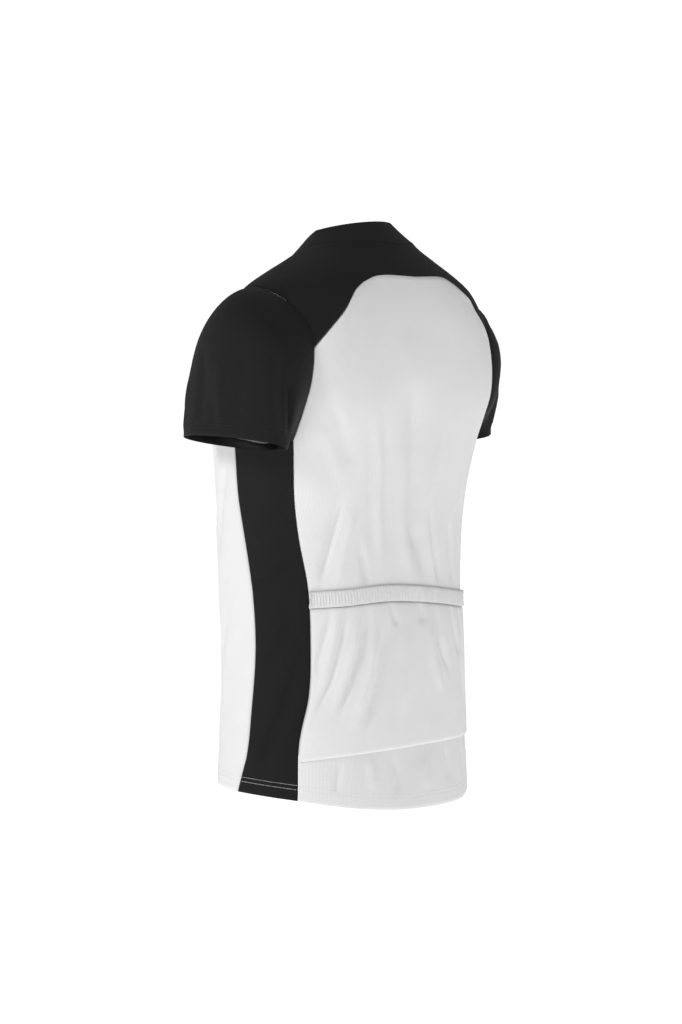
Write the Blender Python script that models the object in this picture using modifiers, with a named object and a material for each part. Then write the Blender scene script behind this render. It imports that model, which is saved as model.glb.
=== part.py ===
"""Short-sleeved cycling jersey, standing hollow in the form it keeps while it is worn.

The frame is the wearer's: +X is the wearer's left, -Y the front, +Z up, and the origin lies
between the shoulders at the height of the neck seam.  All tables are in millimetres and degrees.

One worn form carries the trunk pieces.  A place on it is a turn (0 at the wearer's left side,
90 at the centre back, -90 at the centre front) and a height, and every seam is a short table of
such places.  Two pieces that share a seam read the same points, so they meet along it, and each
stops half a seam gap short.  The sleeves and the collar are lofted from their seams to the cuff
and the collar top.  Each piece is an open sheet of points that a Solidify modifier thickens
towards the wearer.
"""

import math
from collections import namedtuple

import bmesh
import bpy
import numpy as np
from mathutils import Matrix

MM = 0.001

# ---- driving dimensions (mm) ------------------------------------------------
CLOTH = 1.2             # wall of the knitted panels
SEAM_GAP = 0.9          # between two pieces at a seam
YOKE_GAP = 2.1          # the same along the yoke, where the form bends over
ARM_GAP = 3.8           # the same at the top of the armholes, where sleeve and yoke turn most
LAYER_GAP = 0.4         # between a panel and what lies on it
POCKET_WALL = 1.0
POCKET_FULLNESS = 3.5   # how far the pocket stands off where it is loosest
BAND_WALL = 1.8         # doubled casing with its elastic
BAND_WIDTH = 20.0
ARMPIT = -226.0         # height where the side seams end
NECK_CENTRE = 27.0      # the neck's middle lies behind the trunk's
DEGREE = 2.6            # arc of one degree on the back

ZIP_SPACING = 6.4       # between the two front edges
CHAIN_WIDTH = 5.0
CHAIN_WALL = 1.5
CHAIN_PROUD = 0.2
TAPE_WIDTH = 12.0       # one tape, from the middle of the chain
TAPE_WALL = 0.8
TAPE_CLEAR = 0.8
ZIP_END = 3.0           # the tapes stop this far inside the hem and the collar top

SLIDER_WIDTH = 7.0
SLIDER_LENGTH = 9.0
SLIDER_WALL = 2.2
SLIDER_DROP = 10.0      # its middle below the collar top
SLIDER_CLEAR = 0.3
BRIDGE_WIDTH = 2.2
BRIDGE_LENGTH = 6.0
BRIDGE_HEIGHT = 2.6
EYE_LENGTH = 3.6        # the hollow under the bridge
EYE_HEIGHT = 1.7
TAB_WIDTH = 5.6
TAB_LENGTH = 22.0
TAB_WALL = 1.1
TAB_WINDOW = 3.2

# ---- how finely the sheets are divided ----------------------------------------
ROWS_BELOW_POCKET = 2
ROWS_POCKET = 8
ROWS_BAND = 1
ROWS_ABOVE_BAND = 7
SPAN_UNDERARM = 4
SPAN_ARM_BACK = 5
SPAN_ARM_OVER = 11
SPAN_ARM_FRONT = 5
SPAN_YOKE_BACK = 11
SPAN_YOKE_FRONT = 5
SPAN_NECK_FRONT = 3
SLEEVE_ROWS = 7
COLLAR_ROWS = 3

# ---- the worn form: one section a row -------------------------------------------
# square is the section's exponent: 2 is an ellipse, more is boxier
Section = namedtuple("Section", "height half_width back front centre square")
SECTIONS = [
    Section(-690, 190, 118, 114, 4, 2.25),
    Section(-640, 187, 117, 113, 4, 2.25),
    Section(-560, 183, 112, 110, 3, 2.25),
    Section(-470, 181, 110, 109, 3, 2.25),
    Section(-390, 181, 110, 112, 2, 2.25),
    Section(-310, 184, 114, 111, 2, 2.3),
    Section(-240, 190, 121, 105, 4, 2.6),
    Section(-170, 204, 122, 106, 10, 3.1),
    Section(-120, 203, 112, 98, 18, 3.0),
    Section(-75, 190, 102, 90, 22, 2.7),
    Section(-45, 174, 90, 80, 26, 2.2),
    Section(-30, 150, 84, 72, 27, 2.1),
    Section(-14, 118, 76, 62, 27, 2.0),
    Section(0, 90, 66, 54, 27, 2.0),
    Section(20, 72, 56, 50, 22, 2.0),
]

# ---- seams of the wearer's left half, from low to high or from front to back ----
At = namedtuple("At", "turn height")
SIDE_BACK = [At(30, -647), At(31, -580), At(36, -525), At(37, -460), At(36, -400), At(31, -340),
             At(28, -290), At(26, ARMPIT)]
SIDE_FRONT = [At(-4, -641), At(0, -605), At(3, -540), At(5, -470), At(4, -414), At(0, -345),
              At(-3, -290), At(-3, ARMPIT + 2)]
UNDERARM = [At(-3, ARMPIT + 2), At(7, -230), At(17, -230), At(26, ARMPIT)]
ARM_BACK = [At(26, ARMPIT), At(31, -198), At(36, -166), At(38, -140), At(38, -120)]
ARM_OVER = [At(38, -120), At(35, -100), At(24, -74), At(10, -57), At(-6, -49), At(-20, -55),
            At(-34, -76), At(-44, -110)]
ARM_FRONT = [At(-44, -110), At(-43, -150), At(-32, -194), At(-3, ARMPIT + 2)]
YOKE_BACK = [At(38, -120), At(47, -97), At(54, -76), At(58, -52), At(63, -39), At(71, -34),
             At(90, -35)]
YOKE_FRONT = [At(-44, -110), At(-50, -80), At(-55, -48), At(-58, -22)]
NECK = [At(-58, -22), At(-30, -6), At(0, 1), At(30, 5), At(60, 6), At(90, 3)]
NECK_FRONT = [At(-90, -58), At(-75, -42), At(-58, -22)]

# ---- lines that run round the body: the hem drops towards the back --------------
HEM = [At(-90, -632), At(-22, -638), At(30, -647), At(62, -661), At(90, -671), At(126, -673),
       At(150, -666), At(202, -646), At(270, -632)]
POCKET_FOOT = [At(20, -604), At(50, -598), At(90, -596), At(126, -599), At(160, -600)]
BAND_TOP = [At(20, -404), At(52, -402), At(80, -400), At(103, -409), At(126, -418),
            At(160, -424)]

# ---- the cuffs and the collar top ------------------------------------------------
Cuff = namedtuple("Cuff", "side centre_x centre_y centre_z half_width half_depth crown")
CUFFS = [
    Cuff(+1, 224, 23, -229, 33, 74, 1.10),
    Cuff(-1, 224, -10, -229, 32, 72, 0.85),
]
CUFF_RISE_OUT = 0.26    # the opening's plane rises away from the body
CUFF_RISE_BACK = -0.04
COLLAR_HALF_WIDTH = 57.0
COLLAR_HALF_DEPTH = 55.0
COLLAR_CENTRE = 7.0
COLLAR_BACK = 31.0      # height of the top edge at the back, the sides and the front
COLLAR_SIDE = 20.0
COLLAR_FRONT = -12.0

# ---- the largest folds: a line from a low to a high place, its width and its relief --
Fold = namedtuple("Fold", "low_turn low high_turn high width relief")
BACK_FOLDS = [
    Fold(96, -404, 88, -190, 8, -3.5),
    Fold(90, -398, 83, -230, 9, 2.5),
    Fold(106, -408, 99, -320, 8, -3.0),
    Fold(101, -404, 94, -300, 7, 2.0),
    Fold(42, -398, 52, -310, 9, -3.0),
    Fold(49, -398, 60, -320, 9, 2.0),
    Fold(122, -414, 118, -300, 10, -2.5),
]
POCKET_FOLDS = [
    Fold(38, -520, 48, -424, 8, -2.0),
    Fold(40, -556, 56, -422, 8, -2.5),
    Fold(50, -556, 66, -424, 9, -2.5),
    Fold(63, -575, 75, -440, 10, -2.5),
    Fold(109, -520, 102, -430, 10, -2.0),
    Fold(125, -560, 118, -432, 11, -2.5),
]
SIDE_FOLDS = [
    Fold(6, -610, 32, -480, 14, 2.0),
    Fold(-2, -560, 24, -430, 14, -2.0),
]

# ---- colours: linear red, green, blue -------------------------------------------
Finish = namedtuple("Finish", "red green blue roughness metallic")
FINISHES = {
    "white_knit": Finish(0.83, 0.83, 0.84, 0.75, 0.0),
    "black_knit": Finish(0.013, 0.012, 0.013, 0.7, 0.0),
    "white_elastic": Finish(0.85, 0.84, 0.85, 0.7, 0.0),
    "zip_tape": Finish(0.75, 0.75, 0.76, 0.8, 0.0),
    "zip_coil": Finish(0.78, 0.78, 0.79, 0.4, 0.0),
    "zip_metal": Finish(0.45, 0.45, 0.46, 0.3, 1.0),
}


# ---- geometry helpers ----------------------------------------------------------------

def smooth(table, key):
    """Read a table at the given keys by a cubic through its rows; the first column is the key."""
    rows = np.array(table, float)
    keys, values = rows[:, 0], rows[:, 1:]
    slopes = np.gradient(values, keys, axis=0)
    key = np.clip(np.asarray(key, float), keys[0], keys[-1])
    i = np.clip(np.searchsorted(keys, key, side="right") - 1, 0, len(keys) - 2)
    width = (keys[i + 1] - keys[i])[..., None]
    f = (key - keys[i])[..., None] / width
    return ((2 * f**3 - 3 * f**2 + 1) * values[i] + (f**3 - 2 * f**2 + f) * width * slopes[i]
            + (3 * f**2 - 2 * f**3) * values[i + 1] + (f**3 - f**2) * width * slopes[i + 1])


def line(table, turn):
    """Height of a line round the body at the given turns."""
    return smooth(table, turn)[..., 0]


def signed_power(value, power):
    return np.sign(value) * np.abs(value) ** power


def worn_form(turn, height):
    """Points of the worn form, without folds."""
    turn, height = np.broadcast_arrays(np.asarray(turn, float), np.asarray(height, float))
    half_width, back, front, centre, square = np.moveaxis(smooth(SECTIONS, height), -1, 0)
    cosine, sine = np.cos(np.radians(turn)), np.sin(np.radians(turn))
    depth = np.where(sine > 0, back, front)
    return np.stack([half_width * signed_power(cosine, 2 / square),
                     centre + depth * signed_power(sine, 2 / square), height], -1)


def outward(turn, height):
    """Unit vectors that point away from the wearer at places on the form."""
    across = worn_form(turn + 1, height) - worn_form(turn - 1, height)
    up = worn_form(turn, height + 1) - worn_form(turn, height - 1)
    normal = np.cross(across, up)
    return normal / np.linalg.norm(normal, axis=-1, keepdims=True)


def fold_relief(folds, turn, height):
    """How far a list of folds lifts (or, below zero, sinks) the cloth at each place."""
    relief = np.zeros(np.broadcast(turn, height).shape)
    for fold in folds:
        along = (height - fold.low) / (fold.high - fold.low)
        middle = fold.low_turn + (fold.high_turn - fold.low_turn) * along
        fade = np.clip(along / 0.15, 0, 1) * np.clip((1 - along) / 0.5, 0, 1)
        relief += fold.relief * fade * np.exp(-((turn - middle) * DEGREE / fold.width) ** 2)
    return relief


def worn_cloth(places, folds=(), lift=0.0):
    """Points on the form for a grid of places, with folds, moved out by lift."""
    turn, height = places[..., 0], places[..., 1]
    rise = fold_relief(folds, turn, height) + lift
    return worn_form(turn, height) + outward(turn, height) * rise[..., None]


def through(points, spans):
    """Evenly numbered places on a smooth curve through the given ones, both ends included."""
    p = np.array(points, float)
    p = np.vstack([2 * p[0] - p[1], p, 2 * p[-1] - p[-2]])
    u = np.linspace(0, len(points) - 1, spans + 1)
    i = np.minimum(u.astype(int), len(points) - 2)
    f = (u - i)[:, None]
    a, b, c, d = p[i], p[i + 1], p[i + 2], p[i + 3]
    return 0.5 * (2 * b + (c - a) * f + (2 * a - 5 * b + 4 * c - d) * f**2
                  + (3 * b - a - 3 * c + d) * f**3)


def fill(low, high, start, end):
    """Grid of places between four edges that meet at their corners (a Coons patch)."""
    u = np.linspace(0, 1, len(low))[None, :, None]
    v = np.linspace(0, 1, len(start))[:, None, None]
    corners = ((1 - u) * (1 - v) * low[0] + u * (1 - v) * low[-1]
               + (1 - u) * v * high[0] + u * v * high[-1])
    return (1 - v) * low[None] + v * high[None] + (1 - u) * start[:, None] + u * end[:, None] - corners


def mirror(places):
    """The same places on the other half of the body, in the opposite order."""
    other = np.array(places, float)[::-1].copy()
    other[:, 0] = 180 - other[:, 0]
    return other


def pull_in(grid, low=0.0, high=0.0, start=0.0, end=0.0):
    """Move a grid's edges inwards along its own surface by the given distances."""
    def step(edge, inner, distance):
        way = inner - edge
        return way / np.linalg.norm(way, axis=-1, keepdims=True) * distance
    moved = grid.copy()
    moved[0] += step(grid[0], grid[1], low)
    moved[-1] += step(grid[-1], grid[-2], high)
    moved[:, 0] += step(grid[:, 0], grid[:, 1], start)
    moved[:, -1] += step(grid[:, -1], grid[:, -2], end)
    return moved


# ---- Blender helpers ---------------------------------------------------------------------

def clear_scene():
    for old in list(bpy.data.objects):
        bpy.data.objects.remove(old, do_unlink=True)


def new_collection(name):
    collection = bpy.data.collections.new(name)
    bpy.context.scene.collection.children.link(collection)
    return collection


def material(name):
    """The Principled material of one finish, made once."""
    found = bpy.data.materials.get(name)
    if found:
        return found
    finish = FINISHES[name]
    made = bpy.data.materials.new(name)
    made.use_nodes = True
    shader = made.node_tree.nodes["Principled BSDF"]
    shader.inputs["Base Color"].default_value = (finish.red, finish.green, finish.blue, 1)
    shader.inputs["Roughness"].default_value = finish.roughness
    shader.inputs["Metallic"].default_value = finish.metallic
    return made


def mesh_object(name, mesh, finish, collection):
    made = bpy.data.objects.new(name, mesh)
    collection.objects.link(made)
    if finish:
        mesh.materials.append(material(finish))
    return made


def sheet(name, grid, finish, collection, wall=CLOTH, closed=False):
    """Loft a grid of points (mm) into a sheet of cloth with its wall towards the wearer."""
    rows, columns = grid.shape[:2]
    faces = []
    for row in range(rows - 1):
        for column in range(columns if closed else columns - 1):
            a = row * columns + column
            b = row * columns + (column + 1) % columns
            faces.append((a, b, b + columns))
            faces.append((a, b + columns, a + columns))
    mesh = bpy.data.meshes.new(name)
    mesh.from_pydata((grid.reshape(-1, 3) * MM).tolist(), [], faces)
    mesh.shade_smooth()
    made = mesh_object(name, mesh, finish, collection)
    thicken = made.modifiers.new("Wall", "SOLIDIFY")
    thicken.thickness = wall * MM
    thicken.offset = -1
    return made


def block(name, low, high, finish, collection):
    """A box between two corners (mm) given in its object's own frame."""
    mesh = bpy.data.meshes.new(name)
    cube = bmesh.new()
    bmesh.ops.create_cube(cube, size=1)
    size = [(b - a) * MM for a, b in zip(low, high)]
    middle = [(a + b) / 2 * MM for a, b in zip(low, high)]
    bmesh.ops.scale(cube, vec=size, verts=cube.verts)
    bmesh.ops.translate(cube, vec=middle, verts=cube.verts)
    cube.to_mesh(mesh)
    cube.free()
    return mesh_object(name, mesh, finish, collection)


def combine(target, tool, operation):
    """Join a tool to the target or cut it out; the tool stays as a hidden wire guide."""
    change = target.modifiers.new(tool.name, "BOOLEAN")
    change.operation = operation
    change.object = tool
    tool.hide_render = True
    tool.display_type = "WIRE"


def round_edges(target, width):
    soften = target.modifiers.new("Soft edges", "BEVEL")
    soften.width = width * MM
    soften.segments = 1


# ---- seams that pieces share ---------------------------------------------------------------

def own_line(table, side):
    """A line's height, read in the left half's turns, on the given side of the body."""
    return lambda turn: line(table, turn if side > 0 else 180 - turn)


def back_seam(side):
    """Places down the back side seam, one for each row of the back panel, in left turns."""
    hem, foot, top = own_line(HEM, side), own_line(POCKET_FOOT, side), own_line(BAND_TOP, side)
    lines = [hem, foot, lambda turn: top(turn) - BAND_WIDTH, top, lambda turn: ARMPIT]
    counts = [ROWS_BELOW_POCKET, ROWS_POCKET, ROWS_BAND, ROWS_ABOVE_BAND]
    seam = np.array([(p.height, p.turn) for p in SIDE_BACK], float)
    places = []
    for lower, upper, count in zip(lines, lines[1:], counts):
        for f in np.arange(count) / count:
            places.append(meet(seam, lower, upper, f))
    places.append(meet(seam, lines[-2], lines[-1], 1.0))
    return np.array(places)


def meet(seam, lower, upper, f):
    """Where a row between two lines meets the side seam."""
    turn = seam[0, 1]
    for _ in range(12):
        height = (1 - f) * lower(turn) + f * upper(turn)
        turn = float(smooth(seam, height)[0])
    return turn, height


def front_seam(side):
    """Places down the front side seam, as many as on the back one."""
    seam = np.array([(p.height, p.turn) for p in SIDE_FRONT], float)
    rows = ROWS_BELOW_POCKET + ROWS_POCKET + ROWS_BAND + ROWS_ABOVE_BAND + 1
    low = own_line(HEM, side)(seam[0, 1])
    heights = np.linspace(low, seam[-1, 0], rows)
    return np.stack([smooth(seam, heights)[:, 0], heights], -1)


def hem_edge(side, start, end, spans):
    turns = np.linspace(start, end, spans + 1)
    return np.stack([turns, own_line(HEM, side)(turns)], -1)


def to_side(side, places):
    """Take a grid laid out for the left half to its own side, still running round one way."""
    if side > 0:
        return places
    other = places[:, ::-1].copy()
    other[..., 0] = 180 - other[..., 0]
    return other


def armhole():
    """Places round the left armhole: under the arm, up the back, over, and down the front."""
    return np.vstack([through(UNDERARM, SPAN_UNDERARM)[:-1], through(ARM_BACK, SPAN_ARM_BACK)[:-1],
                      through(ARM_OVER, SPAN_ARM_OVER)[:-1], through(ARM_FRONT, SPAN_ARM_FRONT)[:-1]])


def neck_seam():
    """Places round the neck seam, from the centre front over the left shoulder and back again."""
    half = np.vstack([through(NECK_FRONT, SPAN_NECK_FRONT)[:-1],
                      through(NECK, SPAN_ARM_OVER + SPAN_YOKE_BACK)])
    return np.vstack([half, mirror(half)[1:]])


# ---- the trunk's pieces ---------------------------------------------------------------------

def back_places():
    """Grid of places on the back panel, from the hem to the yoke."""
    left, right = back_seam(+1), back_seam(-1)
    columns = 2 * SPAN_YOKE_BACK + 1
    lines = [lambda turn: line(HEM, turn), lambda turn: line(POCKET_FOOT, turn),
             lambda turn: line(BAND_TOP, turn) - BAND_WIDTH, lambda turn: line(BAND_TOP, turn),
             lambda turn: np.full_like(turn, ARMPIT)]
    counts = [ROWS_BELOW_POCKET, ROWS_POCKET, ROWS_BAND, ROWS_ABOVE_BAND]
    rows = []
    for lower, upper, count in zip(lines, lines[1:], counts):
        for f in np.arange(count) / count:
            turns = np.linspace(left[len(rows)][0], 180 - right[len(rows)][0], columns)
            rows.append(np.stack([turns, (1 - f) * lower(turns) + f * upper(turns)], -1))
    turns = np.linspace(left[-1][0], 180 - right[-1][0], columns)
    rows.append(np.stack([turns, np.full_like(turns, ARMPIT)], -1))
    yoke = through(YOKE_BACK, SPAN_YOKE_BACK)
    arm = through(ARM_BACK, SPAN_ARM_BACK)
    other_arm = arm.copy()
    other_arm[:, 0] = 180 - other_arm[:, 0]
    upper_back = fill(rows[-1], np.vstack([yoke, mirror(yoke)[1:]]), arm, other_arm)
    return np.concatenate([np.array(rows), upper_back[1:]])


def make_back(collection):
    half_gap = SEAM_GAP / 2
    grid = worn_cloth(back_places(), BACK_FOLDS)
    sheet("back", pull_in(grid, 0, YOKE_GAP / 2, half_gap, half_gap), "white_knit", collection)


def loose(places):
    """How freely the pocket stands off: none at its edges, most in its middle."""
    rows, columns = places.shape[:2]
    up = np.sin(np.pi * np.linspace(0, 1, rows)) ** 0.7
    across = np.sin(np.pi * np.linspace(0, 1, columns)) ** 0.5
    return up[:, None] * across[None, :]


def make_pocket(collection):
    """The pocket lies on the back panel: it is made from the panel's places, moved out."""
    first = ROWS_BELOW_POCKET
    places = back_places()[first:first + ROWS_POCKET + 1]
    turn, height = places[..., 0], places[..., 1]
    folds = fold_relief(POCKET_FOLDS, turn, height)
    slack = np.clip(POCKET_FULLNESS + folds, 0, None) * loose(places)
    grid = worn_cloth(places, BACK_FOLDS, LAYER_GAP + POCKET_WALL + slack)
    edge = SEAM_GAP / 2
    sheet("pocket", pull_in(grid, 0, edge, 2 * edge, 2 * edge), "white_knit", collection, POCKET_WALL)


def make_pocket_band(collection):
    """Elastic casing along the pocket's mouth."""
    first = ROWS_BELOW_POCKET + ROWS_POCKET
    places = back_places()[first:first + ROWS_BAND + 1]
    grid = worn_cloth(places, BACK_FOLDS, LAYER_GAP + BAND_WALL)
    edge = SEAM_GAP / 2
    sheet("pocket_band", pull_in(grid, edge, 0, 2 * edge, 2 * edge), "white_elastic", collection,
          BAND_WALL)


def make_side(name, side, collection):
    seam_front, seam_back = front_seam(side), back_seam(side)
    low = hem_edge(side, seam_front[0, 0], seam_back[0, 0], SPAN_UNDERARM)
    places = fill(low, through(UNDERARM, SPAN_UNDERARM), seam_front, seam_back)
    half_gap = SEAM_GAP / 2
    grid = worn_cloth(to_side(side, places), SIDE_FOLDS if side > 0 else ())
    sheet(name, pull_in(grid, 0, SEAM_GAP, half_gap, half_gap), "black_knit", collection)


def front_places(side):
    """Grid of places on one front: a patch up to the armpit and one beside the armhole."""
    seam, arm = front_seam(side), through(ARM_FRONT, SPAN_ARM_FRONT)[::-1]
    top = np.vstack([through(NECK_FRONT, SPAN_NECK_FRONT),
                     through(YOKE_FRONT, SPAN_YOKE_FRONT)[::-1][1:]])
    low = hem_edge(side, -90, seam[0, 0], len(top) - 1)
    chest = np.linspace((-90, seam[-1, 1]), seam[-1], len(top))
    lower = fill(low, chest, np.linspace(low[0], chest[0], len(seam)), seam)
    upper = fill(chest, top, np.linspace(chest[0], top[0], len(arm)), arm)
    return np.concatenate([lower, upper[1:]])


def front_grid(side):
    return worn_cloth(to_side(side, front_places(side)))


def make_front(name, side, collection):
    half_gap, zip_edge = SEAM_GAP / 2, ZIP_SPACING / 2
    start, end = (zip_edge, half_gap) if side > 0 else (half_gap, zip_edge)
    sheet(name, pull_in(front_grid(side), 0, YOKE_GAP / 2, start, end), "white_knit", collection)


def make_yoke(collection):
    """One piece over both shoulders and across the back of the neck."""
    half = np.vstack([through(ARM_OVER, SPAN_ARM_OVER)[::-1], through(YOKE_BACK, SPAN_YOKE_BACK)[1:]])
    outer = np.vstack([half, mirror(half)[1:]])
    inner = neck_seam()[SPAN_NECK_FRONT:-SPAN_NECK_FRONT]
    start = through(YOKE_FRONT, SPAN_YOKE_FRONT)
    end = start.copy()
    end[:, 0] = 180 - end[:, 0]
    grid = worn_cloth(fill(outer, inner, start, end))
    edge = YOKE_GAP / 2
    sheet("yoke", pull_in(grid, edge, SEAM_GAP / 2, edge, edge), "black_knit", collection)


# ---- sleeves and collar -----------------------------------------------------------------------

def unit(vectors):
    return vectors / np.linalg.norm(vectors, axis=-1, keepdims=True)


def loft(start, leave, end, arrive, rows):
    """Rows of points from one edge to another that leave and arrive along given vectors."""
    v = np.linspace(0, 1, rows + 1)[:, None, None]
    return ((2 * v**3 - 3 * v**2 + 1) * start + (v**3 - 2 * v**2 + v) * leave
            + (3 * v**2 - 2 * v**3) * end + (v**3 - v**2) * arrive)


def sleeve_grid(cuff):
    """From the armhole to the tilted oval of the cuff, laid out for the left arm."""
    places = armhole()
    seam = worn_form(places[:, 0], places[:, 1])
    low, high = seam.min(axis=0), seam.max(axis=0)
    middle, reach = (low + high) / 2, (high - low) / 2
    round_arm = np.arctan2((seam[:, 1] - middle[1]) / reach[1], (seam[:, 2] - middle[2]) / reach[2])
    out, back = cuff.half_width * np.cos(round_arm), cuff.half_depth * np.sin(round_arm)
    edge = np.stack([cuff.centre_x + out, cuff.centre_y + back,
                     cuff.centre_z + CUFF_RISE_OUT * out + CUFF_RISE_BACK * back], -1)
    over = (1 + np.cos(round_arm)) / 2          # 1 at the shoulder, 0 under the arm
    leave = unit(np.stack([0.75 + 0.30 * over, 0.15 * np.sin(round_arm), 0.75 * over - 0.85], -1))
    arrive = unit(np.array([0.10, -0.09, -1.0]))
    length = np.linalg.norm(edge - seam, axis=1, keepdims=True)
    leave = leave * length * (0.9 + 0.45 * over[:, None] * cuff.crown)
    arrive = arrive * length * (0.9 + 0.2 * over[:, None])
    return loft(seam, leave, edge, arrive, SLEEVE_ROWS)


def make_sleeve(name, cuff, collection):
    grid = sleeve_grid(cuff)
    height = grid[0][:, 2:]
    over = (height - height.min()) / (height.max() - height.min())
    grid[0] += unit(grid[1] - grid[0]) * (SEAM_GAP + (ARM_GAP - SEAM_GAP) * over) / 2
    if cuff.side < 0:
        grid = grid[:, ::-1] * (-1, 1, 1)
    sheet(name, grid, "black_knit", collection, closed=True)


def collar_grid():
    """From the neck seam to the collar top, open at the centre front for the zip."""
    places = neck_seam()
    seam = worn_form(places[:, 0], places[:, 1])
    angle = np.arctan2(seam[:, 1] - NECK_CENTRE, seam[:, 0])
    rise = np.where(np.sin(angle) > 0, COLLAR_BACK - COLLAR_SIDE, COLLAR_SIDE - COLLAR_FRONT)
    top = np.stack([COLLAR_HALF_WIDTH * np.cos(angle),
                    COLLAR_CENTRE + COLLAR_HALF_DEPTH * np.sin(angle),
                    COLLAR_SIDE + rise * np.sin(angle)], -1)
    v = np.linspace(0, 1, COLLAR_ROWS + 1)[:, None, None]
    return seam + (top - seam) * v


def make_collar(collection):
    zip_edge = ZIP_SPACING / 2
    grid = pull_in(collar_grid(), SEAM_GAP / 2, 0, zip_edge, zip_edge)
    sheet("collar", grid, "black_knit", collection)


# ---- the zip -------------------------------------------------------------------------------

def walk(row, distance):
    """The point a given distance along a row of points."""
    steps = np.linalg.norm(np.diff(row, axis=0), axis=1)
    length = np.concatenate([[0], np.cumsum(steps)])
    return np.array([np.interp(distance, length, row[:, axis]) for axis in range(3)])


def zip_line(distance, lift):
    """Up the left front and collar, a given distance beside the opening and lifted outwards."""
    rows = list(front_grid(+1)) + list(collar_grid()[1:])
    middle = np.array([row[0] for row in rows])
    out = unit(np.cross((1, 0, 0), np.gradient(middle, axis=0)))
    return np.array([walk(row, distance) for row in rows]) + out * lift


def flip(points):
    return points * (-1, 1, 1)


def make_zip(collection):
    for name, side in (("zip_tape_left", +1), ("zip_tape_right", -1)):
        lift = -(CLOTH + TAPE_CLEAR)
        edges = [zip_line(SEAM_GAP / 2, lift), zip_line(TAPE_WIDTH, lift)]
        if side < 0:
            edges = [flip(edge) for edge in reversed(edges)]
        grid = pull_in(np.stack(edges, 1), ZIP_END, ZIP_END)
        sheet(name, grid, "zip_tape", collection, TAPE_WALL)
    edge = zip_line(CHAIN_WIDTH / 2, CHAIN_PROUD)
    grid = pull_in(np.stack([flip(edge), edge], 1), ZIP_END, ZIP_END)
    sheet("zip_chain", grid, "zip_coil", collection, CHAIN_WALL)


def slider_frame():
    """Frame of the slider: x along the wearer's left, z up the chain, y into the wearer."""
    chain = zip_line(0, CHAIN_PROUD)
    top = chain[-1]
    up = unit(chain[-1] - chain[-2])
    inward = unit(np.cross(up, (1, 0, 0)))
    place = Matrix(np.column_stack([(1, 0, 0), inward, up]).tolist()).to_4x4()
    place.translation = (top - up * SLIDER_DROP) * MM
    return place


def make_slider(collection, cutters):
    """Slider body with a bridge that holds the pull tab; y is negative away from the wearer."""
    face = -(SLIDER_CLEAR + SLIDER_WALL)
    half_width, half_length = SLIDER_WIDTH / 2, SLIDER_LENGTH / 2
    place = slider_frame()
    body = block("zip_slider", (-half_width, face, -half_length),
                 (half_width, -SLIDER_CLEAR, half_length), "zip_metal", collection)
    round_edges(body, 0.6)
    bridge = block("slider_bridge", (-BRIDGE_WIDTH / 2, face - BRIDGE_HEIGHT, -BRIDGE_LENGTH / 2),
                   (BRIDGE_WIDTH / 2, face + SLIDER_WALL / 2, BRIDGE_LENGTH / 2), None, cutters)
    eye = block("slider_eye", (-BRIDGE_WIDTH, face - EYE_HEIGHT, -EYE_LENGTH / 2),
                (BRIDGE_WIDTH, face, EYE_LENGTH / 2), None, cutters)
    combine(body, bridge, "UNION")
    combine(body, eye, "DIFFERENCE")
    for piece in (body, bridge, eye):
        piece.matrix_world = place


def make_pull_tab(collection, cutters):
    """Pull tab, hanging down the chain, with its origin on the hinge under the bridge."""
    hinge = -(SLIDER_CLEAR + SLIDER_WALL + EYE_HEIGHT / 2)
    place = slider_frame() @ Matrix.Translation((0, hinge * MM, 0))
    half_width, half_wall = TAB_WIDTH / 2, TAB_WALL / 2
    tab = block("zip_pull_tab", (-half_width, -half_wall, half_wall - TAB_LENGTH),
                (half_width, half_wall, half_wall), "zip_metal", collection)
    window = block("tab_window", (-TAB_WINDOW / 2, -TAB_WALL, -half_wall - TAB_WINDOW),
                   (TAB_WINDOW / 2, TAB_WALL, -half_wall), None, cutters)
    round_edges(tab, 0.25)
    combine(tab, window, "DIFFERENCE")
    for piece in (tab, window):
        piece.matrix_world = place


def main():
    clear_scene()
    jersey = new_collection("cycling_jersey")
    cutters = new_collection("cutters")
    make_back(jersey)
    make_pocket(jersey)
    make_pocket_band(jersey)
    make_side("side_left", +1, jersey)
    make_side("side_right", -1, jersey)
    make_front("front_left", +1, jersey)
    make_front("front_right", -1, jersey)
    make_yoke(jersey)
    for cuff in CUFFS:
        make_sleeve("sleeve_left" if cuff.side > 0 else "sleeve_right", cuff, jersey)
    make_collar(jersey)
    make_zip(jersey)
    make_slider(jersey, cutters)
    make_pull_tab(jersey, cutters)


main()
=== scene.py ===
"""Short-sleeved cycling jersey, worn: thin knitted shells with creases, stitching and a zip.

Every cloth piece is a grid of places (turn in degrees, height in millimetres) laid on one worn
form, so neighbouring pieces meet along shared seams and share the same folds.
+X is the wearer's left, -Y the front and +Z up; the origin lies between the shoulders at the neck.
"""

from collections import namedtuple

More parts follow.
